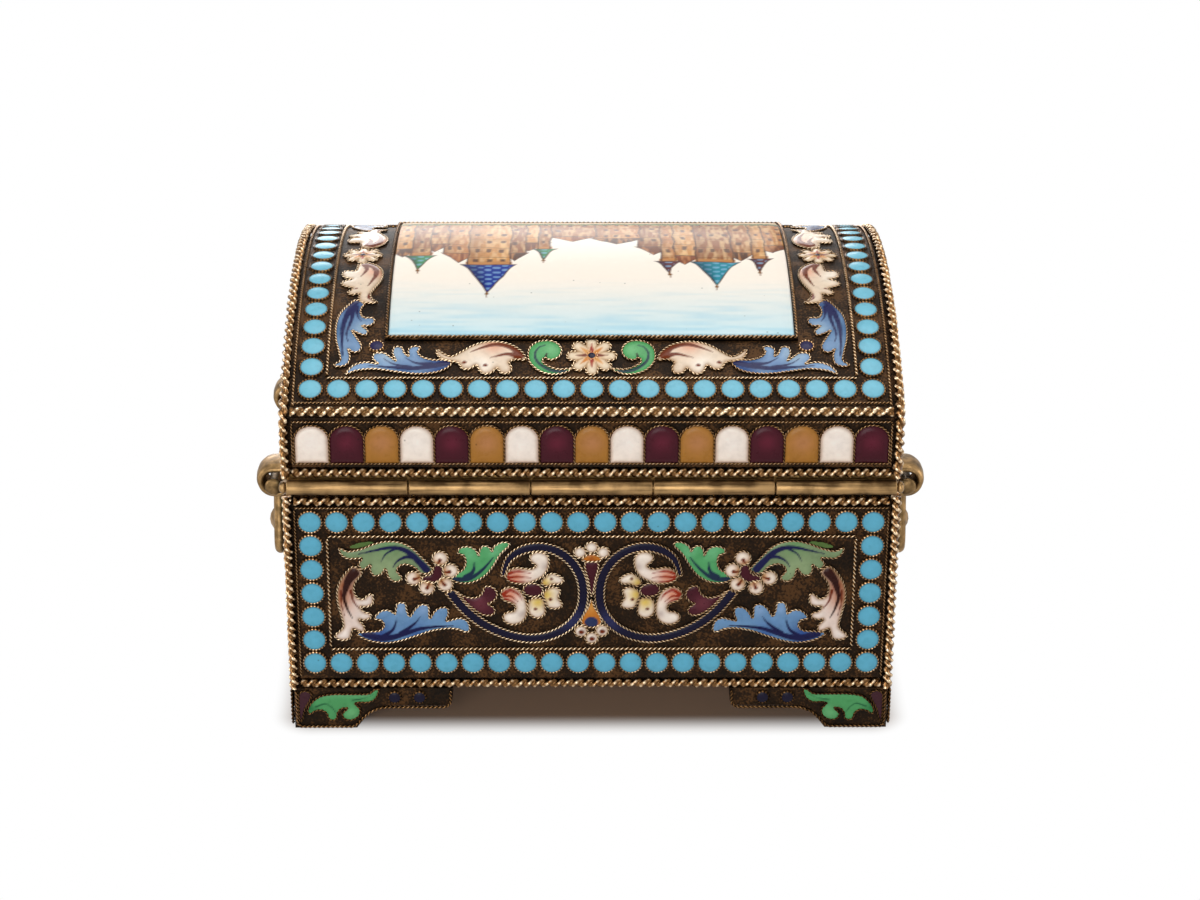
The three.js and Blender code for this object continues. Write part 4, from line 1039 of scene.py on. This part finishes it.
def paintPicture(right, up):
    # seen from the front; each brush lays a colour over a soft-edged shape
    picture = np.tile(linear("#F3E8DA"), right.shape + (1,))

    def brush(share, colour):
        picture[...] += (linear(colour) - picture) * np.clip(share, 0, 1)[..., None]

    def dabs(wide, tall):
        # random values on a coarse grid, blended between its points
        a, b = (right - right.min()) / wide, (up - up.min()) / tall
        i, j = a.astype(int), b.astype(int)
        grid = rng.random((i.max() + 2, j.max() + 2))
        s, t = a - i, b - j
        near = grid[i, j] * (1 - s) + grid[i + 1, j] * s
        return near * (1 - t) + (grid[i, j + 1] * (1 - s) + grid[i + 1, j + 1] * s) * t

    def streaks(values, gain, floor):
        return np.clip(gain * values - floor, 0, 1)

    # an unsteady hand: every line wavers a little
    p, q = right + 0.5 * (dabs(1.9, 2.3) - 0.5), up + 0.5 * (dabs(2.4, 1.7) - 0.5)
    base = plaque["ground"]
    wisp, speck, hatch = dabs(4.0, 0.45), dabs(0.5, 0.5), dabs(0.32, 1.5)
    # sky: cream over the roofs, running into pale blue streaks towards the top
    blue = np.clip((up - 7.5) / 13, 0, 1)
    brush(0.85 * blue ** 1.3, "#A6D6E4")
    brush(0.35 * blue * streaks(wisp, 2.2, 1.0), "#7CC0DA")
    brush(0.2 * blue * streaks(wisp, -3.0, -1.6), "#F2F0E8")
    # the paved square
    square = soft(q - base, 0.8)
    brush(square, "#D9BE98")
    brush(0.7 * square * streaks(wisp, 2.4, 1.0), "#A67C4C")
    brush(0.5 * square * streaks(speck, 2.2, 1.3), "#7A5530")

    def facade(wall, centre, half, storey, pitch):
        # warm plaster in loose strokes, shaded to the right, with arched windows and string courses
        inside = soft(wall)
        brush(0.5 * inside * streaks(hatch, 2.6, 1.0), "#E8C690")
        brush(0.4 * inside * streaks(speck, 2.6, 1.4), "#8A5428")
        brush(0.55 * inside * np.clip(1.2 * (p - centre) / half, 0, 1), "#7C4A24")
        bays = p - centre + 20.5 * pitch
        across, above, wide = bays % pitch - pitch / 2, (q - base) % storey - 0.55 * storey, 0.2 * pitch
        window = np.where(above > 0, np.hypot(across, above) - wide,
                          np.maximum(np.abs(across) - wide, -0.26 * storey - above))
        # about a third of the windows are left out
        kept = np.sin(12.9 * (bays // pitch) + 78.2 * ((q - base) // storey) + centre) > -0.45
        brush(0.9 * kept * soft(np.maximum(window, wall + 0.3)), "#4A240E")
        brush(0.7 * soft(np.maximum(np.abs(above + 0.42 * storey) - 0.07, wall)), plaque["line"])

    def outline(*gaps):
        edge = np.minimum.reduce([np.abs(g) for g in gaps])
        brush((0.65 + 0.6 * speck) * soft(edge - 0.1), plaque["line"])

    for i, (centre, width, eave, ridge) in enumerate(plaque["houses"]):
        wall = boxGap(p - centre, q, width / 2, base, eave)
        roof = np.maximum(q - ridge + (ridge - eave) * np.abs(p - centre) / (width / 2 + 0.3), eave - q)
        brush(soft(wall), plaque["walls"][i % 4])
        facade(wall, centre, width / 2, 3.1 + 0.5 * (i % 3), 1.5 + 0.35 * (i % 2))
        brush(soft(roof), plaque["roofs"][i % 3])
        brush(0.6 * soft(roof) * streaks(hatch, 3.0, 1.3), "#C98A54")
        outline(wall, roof)
    for i, (centre, half, eave, tip, colour) in enumerate(plaque["towers"]):
        wall = boxGap(p - centre, q, half, base, eave)
        # a tall cone with spread eaves, scaled, under a gilt ball on a rod
        rise = np.clip((q - eave) / (tip - eave), 0, 1)
        reach = (half + 0.35) * (1 - rise) + 0.5 * (1 - rise) ** 8
        roof = np.maximum(np.maximum(np.abs(p - centre) - reach, eave - q), q - tip)
        brush(soft(wall), plaque["walls"][(i + 2) % 4])
        facade(wall, centre, half, 3.4, 1.7 if half > 2 else 1.3)
        brush(soft(boxGap(p - centre, q, half + 0.25, eave - 0.9, eave - 0.1)), "#B47A42")
        brush(soft(roof), colour)
        scales = np.sin(5.2 * (q - eave) + 3 * (p - centre)) + np.sin(5.2 * (q - eave) - 3 * (p - centre))
        brush(0.55 * soft(roof + 0.2) * streaks(scales, 1.5, 0.2), "#8CB8D8")
        brush(0.6 * soft(roof) * np.clip(1.3 * (p - centre) / (reach + 0.1), 0, 1), "#141838")
        outline(wall, roof)
        rod = boxGap(p - centre, q, 0.08, tip - 0.3, tip + 1.1)
        brush(soft(np.minimum(rod, np.hypot(p - centre, q - tip - 0.3) - 0.28)), "#7A4E1E")
    hedge = soft(np.abs(q - base - 0.3) - 0.35 - 0.9 * hatch, 0.4)
    brush(0.85 * hedge, "#66783E")
    brush(0.7 * hedge * streaks(speck, 2.6, 1.2), "#2F4426")
    return picture


plaqueLow, plaqueHigh = nodeBox("plaque")
plaqueHalf = (plaqueHigh[0] - plaqueLow[0]) / 2
plaqueArc = math.asin((plaqueHigh[1] - midY) / (domeRadius + plaque["sheet"])) * domeRadius
lines = [np.linspace(-half, half, int(2 * half / plaque["step"])) for half in (plaqueHalf, plaqueArc)]
u, v = np.meshgrid(*lines, indexing="ij")
edgeGap = np.minimum(plaqueHalf - np.abs(u), plaqueArc - np.abs(v))
height = plaque["sheet"] + plaque["crown"] * np.clip(edgeGap / plaque["bevel"], 0, 1)
sheet = gridPart(np.dstack([u, v, height - plaque["turnedEdge"] * (edgeGap < 1e-6)]), paintPicture(-u, -v))
makePiece("paintedPlaque", laidOn(onDome, sheet), plaqueGlass, "lid", ["plaque"])
print("plaque painted")

# Bezel: a ribbed wire round the plaque on a plain strip, whose section is (out, up)
bezel = {"wire": {"diameter": 0.46, "lay": 0.6, "lift": 0.6}, "out": 0.24, "step": 0.2, "tarnish": 0.6,
         "stripTint": 0.1, "steps": 40, "strip": [(0.03, 0.0), (0.03, 0.44), (0.42, 0.44), (0.42, 0.0)]}


def plaqueRim(out):
    u, v = plaqueHalf + out, plaqueArc + out
    return np.array([(-u, -v), (u, -v), (u, v), (-u, v), (-u, -v)])


along = np.linspace(0, 4, 4 * bezel["steps"], endpoint=False)
strip = [np.stack([np.interp(along, range(5), axis) for axis in plaqueRim(out).T] + [up + 0 * along], -1)
         for out, up in bezel["strip"]]
strip = gridPart(np.stack(strip, 1), bezel["stripTint"], True, True)
bezelLine = evenly(plaqueRim(bezel["out"]), bezel["step"], True)
bezelWire = toned(twistedWire(bezelLine, True, **bezel["wire"]), bezel["tarnish"])
bezelPart = laidOn(onDome, joined([strip, bezelWire]))
makePiece("plaqueBezel", bezelPart, giltWire, "lid", ["plaque_bezel"])

# Ends of the body: a bead border that leaves room for the lugs, the foliage at a smaller scale
near, far = endPanel["lugs"]
spots = [s for s in borderSpots(endPanel) if s[1] < endPanel["head"] - 1 or not near < abs(s[0]) < far]
beads = beadBorder(spots, "turquoise")
small = [moved(part, (0.0, endPanel["ornamentLift"]), endPanel["ornamentScale"]) for part in foliage]
half, top = endPanel["topHalf"], endPanel["topLine"]
topWire = twistedWire([(-half, top), (half, top)], **edgeWire)
wires = joined([small[1], beads[1], *frameWires(*endPanel["frame"]), topWire])
end = joined([small[0], beads[0]]), wires
layEnamel("right", [(onRight, end)], "body")
layEnamel("left", [(onLeft, end)], "body")
print("ends enamelled")

# Ends of the lid: arches below, and the last leaves of the dome's corner with a flower under the curve,
# with beads (u, v, size) beside them
lidEnd = {"arches": 13, "firstLeaf": 3, "scale": 0.85, "lift": 68.4, "chord": 45.25, "chordHalf": 29.6,
          "gap": 0.4, "arcIn": 1.85, "beads": [(20.6, 47.0, 0.8), (23.6, 46.3, 0.55)]}
arches = archRow(lidEnd["arches"])
leaves = motif(domeCorner["cells"][lidEnd["firstLeaf"]:])
spray = [moved(joined([leaf, mirrored(leaf), flower]), (0.0, lidEnd["lift"]), lidEnd["scale"])
         for leaf, flower in zip(leaves, flowerMotif(*domeCorner["endFlower"]))]
corners = [((s * u, v), size) for u, v, size in lidEnd["beads"] for s in bothWays]
enamel = joined([arches[0], spray[0]] + [beadPart(spot, "lidTurquoise", size) for spot, size in corners])
radius, chord, half = domeRadius - lidEnd["arcIn"], lidEnd["chord"], lidEnd["chordHalf"]
arcEdge = math.acos((chord + lidEnd["gap"] - domeCentreZ) / radius)
turn = np.linspace(-arcEdge, arcEdge, 120)
arc = np.stack([radius * np.sin(turn), domeCentreZ + radius * np.cos(turn)], -1)
wires = [arches[1], spray[1], twistedWire(arc), twistedWire([(-half, chord), (half, chord)], **frameWire)]
end = enamel, joined(wires + [beadRing(spot, size) for spot, size in corners])
layEnamel("lidRight", [(onRight, end)], "lid")
layEnamel("lidLeft", [(onLeft, end)], "lid")
print("lid ends enamelled")

# Feet: a dark corner, a green leaf and two dots on each wing, a wire along the cut edge
foot = {
    "cells": [{
        "outline": [(-38.6, 5.3), (-37.8, 5.75), (-37.0, 5.3), (-37.2, 4.4), (-37.9, 3.0), (-38.3, 1.5),
                    (-38.6, 1.1), (-38.7, 2.4), (-38.7, 4.1)],
        "base": "#41232C", "crown": 0.1,
    }, {
        "outline": [
            (-28.06, 5.93), (-28.49, 4.66), (-29.45, 4.05), (-30.63, 4.05), (-31.27, 3.83), (-30.63, 3.01),
            (-30.74, 2.02), (-31.7, 1.36), (-32.67, 1.52), (-32.99, 2.24), (-32.56, 2.74), (-32.24, 3.17),
            (-33.09, 3.06), (-33.63, 2.35), (-33.73, 1.58), (-34.38, 1.3), (-34.86, 1.69), (-35.02, 2.35),
            (-35.66, 2.85), (-36.52, 2.74), (-37.37, 2.24), (-37.48, 3.12), (-36.73, 4.22), (-35.66, 4.99),
            (-33.84, 5.27), (-31.38, 5.27), (-29.45, 5.32), (-28.6, 5.93)],
        "base": "#52A266", "washes": [("#2F7A48", (-37.27, 3.12), 0.8), ("#6BB57A", (-31.7, 2.46), 0.9)],
        "strokes": [("stalk", 0.2, 0.08, [(-36.41, 3.45), (-35.13, 3.89), (-34.27, 3.23), (-33.84, 2.46)]),
                    ("stalk", 0.16, 0.08, [(-31.49, 4.44), (-30.2, 4.66), (-28.92, 5.21)])],
    }],
    "dots": [((-26.0, 4.75), 0.8, "ink"), ((-22.7, 4.75), 0.8, "ink")],
    "edge": [(-38.95, 5.7), (-38.95, 0.9), (-38.5, 0.35), (-31.6, 0.35), (-30.9, 0.8), (-30.2, 1.7),
             (-29.2, 2.6), (-28.0, 3.15), (-26.8, 3.3), (-19.5, 3.3), (-18.9, 3.5), (-18.6, 4.0),
             (-18.6, 5.8)],
    "edgeWire": {"diameter": 0.46, "lay": 0.6, "lift": 0.18, "wearAndHighlight": 0.7},
    "endShift": (8.1, 0.0), "wearAndHighlight": 0.42,
}
enamel, wires = motif(foot["cells"], foot["dots"])
wing = enamel, joined([toned(wires, foot["wearAndHighlight"]), twistedWire(foot["edge"], **foot["edgeWire"])])
endWing = [moved(part, foot["endShift"]) for part in wing]
pair, endPair = ([joined([part, mirrored(part)]) for part in parts] for parts in (wing, endWing))
layEnamel("foot", [(onBack, pair), (onFront, pair), (onRight, endPair), (onLeft, endPair)], "body")
print("feet enamelled")

# Hinge: drawn tubes with softly broken edges, on a pin with two riveted heads, whose outline is
# (distance from the end, share of the head's radius)
hinge = {"sides": 40, "break": 0.12, "bore": 0.5, "pin": 0.45, "worn": 0.34, "shine": 0.3,
         "shineWidth": 0.75, "edgeShine": 0.35, "headDepth": 0.9, "headTip": 0.01,
         "head": [(0.05, 0.5), (0.2, 0.82), (0.45, 1.0), (0.7, 0.94), (0.88, 0.75)]}


def lathed(half, low, high):
    # half a profile of (distance from the end, radius) and its mirror image, turned about the box's middle
    # along X; a painted reflection band lightens the side away from the walls, painted highlights lighten
    # the broken edges, and the tube is left darker above and below
    half = np.array(half)
    x = np.concatenate([low[0] + half[:, 0], high[0] - half[::-1, 0]])[:, None]
    radius = np.concatenate([half[:, 1], half[::-1, 1]])[:, None]
    turn, (_, y, z) = fullTurn(hinge["sides"]), (low + high) / 2
    points = np.dstack([x + 0 * turn, y + radius * np.cos(turn), z + radius * np.sin(turn)])
    away = np.arctan2(np.sin(turn), np.cos(turn)) / hinge["shineWidth"]
    edge = (radius < radius.max()) & (radius > 0.85 * radius.max())
    # painted reflection and highlights on the tube, over its plain level
    worn = hinge["worn"] + hinge["shine"] * np.exp(-away ** 2) + hinge["edgeShine"] * edge
    return gridPart(points, worn, closeColumns=True, flip=True)


cut = hinge["break"]
for i in range(1, 6):
    node = f"hinge_knuckle_{i}"
    low, high = nodeBox(node)
    radius = (high[2] - low[2]) / 2
    profile = [(0.0, hinge["bore"]), (0.0, radius - cut), (0.4 * cut, radius - 0.3 * cut),
               (1.2 * cut, radius)]
    body = "body" if i % 2 else "lid"
    makePiece(f"hingeTube{i}", lathed(profile, low, high), hingeGilt, body, [node])
low, high = nodeBox("hinge_pin")
head = (high[2] - low[2]) / 2
profile = [(x, share * head) for x, share in hinge["head"]]
profile = [(0.0, hinge["headTip"]), *profile, (hinge["headDepth"], hinge["pin"])]
makePiece("hingePin", lathed(profile, low, high), hingeGilt, "body", ["hinge_pin"])
print("hinge set")

# Drop handles: drawn wire bent to a bail, swelling into a grip, with riveted ends in strap lugs
bail = {"shoulder": 7.6, "hip": 11.6, "bow": 0.5, "bends": [2.2, 3.0, 5.8, 3.0, 2.2], "wire": 0.75,
        "gripHalf": 3.6, "sides": 20, "step": 0.3, "head": 1.2, "headSteps": 2.5, "worn": (0.36, 0.5)}
lug = {"strap": 1.1, "soft": 0.3, "crown": 0.34, "dip": 0.08, "step": 0.25,
       "worn": [0.5, 0.5, 0.5, 0.5, 0.54, 0.46, 0.42, 0.46, 0.54, 0.5, 0.5]}


def bentLine(corners, bends, steps=10):
    # each corner gives way to a parabola that starts and ends the given distance from it
    t = np.linspace(0, 1, steps)[:, None]
    rows = [corners[:1]]
    for before, at, after, bend in zip(corners[:-2], corners[1:-1], corners[2:], bends):
        start, end = at + bend * unit(np.array([before - at, after - at]))
        rows.append((1 - t) ** 2 * start + 2 * t * (1 - t) * at + t ** 2 * end)
    return np.vstack(rows + [corners[-1:]])


def bailPart(node):
    low, high = nodeBox(node)
    grip, top, pinEnd = (high[0] - low[0]) / 2, high[2] - bail["wire"], (high[1] - low[1]) / 2
    deep, sag = low[2] + grip, bail["bow"] / 2
    corners = [(pinEnd, top), (bail["shoulder"], top), (bail["hip"], deep + sag), (0.0, deep - sag)]
    corners = np.array(corners + [(-y, z) for y, z in reversed(corners[:-1])])
    line = evenly(bentLine(corners, bail["bends"]), bail["step"])
    along = unit(np.gradient(line, axis=0))
    middle = (len(line) - 1) / 2
    run = np.abs(np.arange(len(line)) - middle)
    swell = np.clip(1 - run * bail["step"] / bail["gripHalf"], 0, 1)
    radius = bail["wire"] + (grip - bail["wire"]) * swell ** 1.2 * (1.6 - 0.6 * swell)
    ends = middle - run
    rivet = bail["head"] * np.clip(0.8 + 0.3 * ends, 0, 1)
    radius = np.where(ends < bail["headSteps"], rivet, radius)[:, None]
    turn = fullTurn(bail["sides"])
    out, aside = radius * np.cos(turn), radius * np.sin(turn)
    points = np.dstack([(low[0] + high[0]) / 2 + out, midY + line[:, :1] - along[:, 1:] * aside,
                        line[:, 1:] + along[:, :1] * aside])
    # painted shade: the tint is darker for the last few millimetres at each end, inside the lug's loop
    worn = np.clip(0.12 * (ends * bail["step"] - bail["head"]), *bail["worn"])
    return capped(gridPart(points, worn[:, None] + 0 * out, closeColumns=True), bail["sides"])


def lugPart(node, sign):
    # a rounded strap section carried once round the loop, square against the wall
    low, high = nodeBox(node)
    (reach, wide, tall), middle = high - low, (low + high) / 2
    inset, rise, half = lug["strap"] / 2, tall / 2, wide / 2
    bend, turn = rise - inset, np.linspace(-math.pi / 2, math.pi / 2, 24)
    bow = np.stack([reach - rise + bend * np.cos(turn), bend * np.sin(turn)], -1)
    loop = evenly(np.vstack([(inset, -bend), bow, (inset, bend), (inset, -bend)]), lug["step"], True)
    along = unit(np.roll(loop, -1, 0) - np.roll(loop, 1, 0))
    normal = np.stack([along[:, 1], -along[:, 0]], -1)
    # from the inside of the strap over one edge, the crowned outside and the other edge
    s, c, d = lug["soft"], inset - lug["crown"], inset - lug["dip"]
    edge = [(-inset, half - s), (s - inset, half), (c - s, half), (c, half - 0.4 * s), (d, 0.55 * half)]
    section = np.array([(-inset, s - half), *edge, (inset, 0.0)] + [(x, -y) for x, y in reversed(edge[1:])])
    flat = loop[:, None] + normal[:, None] * section[:, :1]
    wall = low[0] if sign > 0 else high[0]
    across = middle[1] + section[:, 1] + 0 * flat[..., 0]
    points = np.dstack([wall + sign * flat[..., 0], across, middle[2] + flat[..., 1]])
    # the tint is a little lighter along the strap's rounded edges and darker down the middle of its crown
    return gridPart(points, np.array(lug["worn"]) + 0 * across, True, True, flip=sign < 0)


for side, sign in (("left", -1), ("right", 1)):
    node = f"handle_{side}"
    makePiece(f"{side}Bail", bailPart(node), castGilt, f"{side}_handle", [node])
    lugs = [f"lug_{place}_{side}" for place in ("front", "back")]
    straps = joined([lugPart(n, sign) for n in lugs])
    makePiece(f"{side}Lugs", straps, castGilt, "body", lugs)
print("handles hung")

# Thumbpiece: a scalloped tongue with soft edges, in layers of (share of the outline, share of the height)
thumb = {"worn": 0.5, "layers": [(0.0, 1.0), (0.7, 1.0), (0.88, 0.94), (0.97, 0.78), (1.0, 0.5),
                                 (0.97, 0.22), (0.88, 0.06), (0.7, 0.0), (0.0, 0.0)]}
low, high = nodeBox("thumbpiece")
wide, reach, tall = high - low
turn = np.linspace(0, math.pi, 49)
lip = np.clip(-reach * np.sin(turn) ** 0.8 * (1 + 0.025 * np.cos(10 * turn)), -reach, 0)
share, rise = (np.array(values)[:, None] for values in zip(*thumb["layers"]))
across = (low[0] + high[0]) / 2 - wide / 2 * np.cos(turn) * share
tongue = np.dstack([across, high[1] + lip * share, low[2] + rise * tall + 0 * turn])
tongue = gridPart(tongue, thumb["worn"], flip=True)
makePiece("thumbTongue", tongue, castGilt, "lid", ["thumbpiece"])

# Studio: a floor that keeps the shadow near the casket, painted brown there as a painted shadow and warm
# reflection of the casket, and runs out into the white of the backdrop
studio = {"floorHalf": 3000.0, "floor": "#A2866F", "glow": 0.008, "inset": 2.5, "fade": 6.0, "world": 0.128,
          "mirrored": 0.672, "aim": (0, 0, 30)}
reach = studio["floorHalf"] / metre
floorMesh = bpy.data.meshes.new("floor")
floorMesh.from_pydata([(-reach, -reach, 0), (reach, -reach, 0), (reach, reach, 0), (-reach, reach, 0)], [],
                      [(0, 1, 2, 3)])
floor = bpy.data.objects.new("floor", floorMesh)
scene.collection.objects.link(floor)
floor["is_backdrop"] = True
sweep = newShading(bpy.data.materials, "whiteSweep")
rays = addNode(sweep, "LightPath").outputs
seen = rays["Is Camera Ray"]
for kind in ("Is Glossy Ray", "Is Transmission Ray"):
    seen = addNode(sweep, "Math", {0: seen, 1: rays[kind]}, operation="MAXIMUM")
glow = addNode(sweep, "Math", {0: seen, 1: studio["glow"]}, operation="MULTIPLY")
# painted shadow: near and under the casket the floor is brown, darkening and warming the shadow there
paintedShadow = addNode(sweep, "BsdfDiffuse", {"Color": colour4(studio["floor"])})
near = addNode(sweep, "AddShader", {0: paintedShadow, 1: addNode(sweep, "Emission", {"Strength": glow})})
# distance from the casket's footprint, drawn in a little
spot = addNode(sweep, "TexCoord").outputs["Object"]
beyond = addNode(sweep, "VectorMath", {0: spot}, operation="ABSOLUTE")
footprint = Vector((endX - studio["inset"], halfDepth - studio["inset"], 0.0)) / metre
beyond = addNode(sweep, "VectorMath", {0: beyond, 1: footprint}, operation="SUBTRACT")
beyond = addNode(sweep, "VectorMath", {0: beyond, 1: (0.0, 0.0, 0.0)}, operation="MAXIMUM")
beyond = addNode(sweep, "VectorMath", {0: beyond}, operation="LENGTH").outputs["Value"]
fade = addNode(sweep, "MapRange", {"Value": beyond, "From Min": 0.0, "From Max": studio["fade"] / metre},
               interpolation_type="SMOOTHSTEP")
fade = addNode(sweep, "Math", {0: fade, 1: seen}, operation="MULTIPLY")
white = addNode(sweep, "Emission", {"Strength": 1.0})
mixed = addNode(sweep, "MixShader", {0: fade, 1: near, 2: white})
addNode(sweep, "OutputMaterial", {"Surface": mixed})
floorMesh.materials.append(sweep)

# The world is white to the camera, a bright studio in the metal, and a little light from all round
world = newShading(bpy.data.worlds, "studioWorld")
scene.world = world
rays = addNode(world, "LightPath").outputs
inMetal = {0: rays["Is Glossy Ray"], 1: studio["mirrored"], 2: studio["world"]}
inMetal = addNode(world, "Math", inMetal, operation="MULTIPLY_ADD")
strength = addNode(world, "Math", {0: rays["Is Camera Ray"], 1: inMetal}, operation="MAXIMUM")
sky = addNode(world, "Background", {"Color": colour4("#FFFFFF"), "Strength": strength})
addNode(world, "OutputWorld", {"Surface": sky})

# Round softboxes, each with its place, its size and its power in watts
lamps = {"topBox": ((-60, -90, 700), 500, 3.1), "frontBox": ((120, 640, 190), 420, 2.45),
         "farBox": ((100, -640, 200), 400, 2.1), "leftBox": ((-620, 40, 220), 380, 1.4),
         "rightBox": ((620, 40, 220), 380, 1.4)}
for name, (place, size, power) in lamps.items():
    lamp = bpy.data.lights.new(name, "AREA")
    lamp.shape, lamp.size, lamp.energy = "DISK", size / metre, power
    holder = bpy.data.objects.new(name, lamp)
    scene.collection.objects.link(holder)
    holder.location = Vector(place) / metre
    holder.rotation_mode = "QUATERNION"
    holder.rotation_quaternion = (Vector(studio["aim"]) - Vector(place)).to_track_quat("-Z", "Y")

# Camera, as the photograph was taken: behind the casket, a little above it
shot = {"lens": 93.15, "sensor": 36.0, "distance": 395.68, "elevation": 25.47, "yaw": 0.7, "roll": 0.28,
        "aim": (-1.02, 0.024, 40.96)}
elevation, yaw, roll = (math.radians(shot[k]) for k in ("elevation", "yaw", "roll"))
level = math.cos(elevation)
forward = Vector((-math.sin(yaw) * level, -math.cos(yaw) * level, -math.sin(elevation)))
right = Vector((-math.cos(yaw), math.sin(yaw), 0.0))
up = right.cross(forward)
lens = bpy.data.cameras.new("shot")
lens.lens, lens.sensor_width = shot["lens"], shot["sensor"]
lens.clip_start, lens.clip_end = 0.01, 20.0
camera = bpy.data.objects.new("shot", lens)
scene.collection.objects.link(camera)
turned = Matrix((math.cos(roll) * right + math.sin(roll) * up, math.cos(roll) * up - math.sin(roll) * right,
                 -forward)).transposed()
aim = Vector(shot["aim"]) + Vector((0.0, backY, 0.0))
camera.matrix_world = Matrix.Translation((aim - shot["distance"] * forward) / metre) @ turned.to_4x4()
scene.camera = camera
scene.view_settings.view_transform = "Standard"
print("studio set")

low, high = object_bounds()
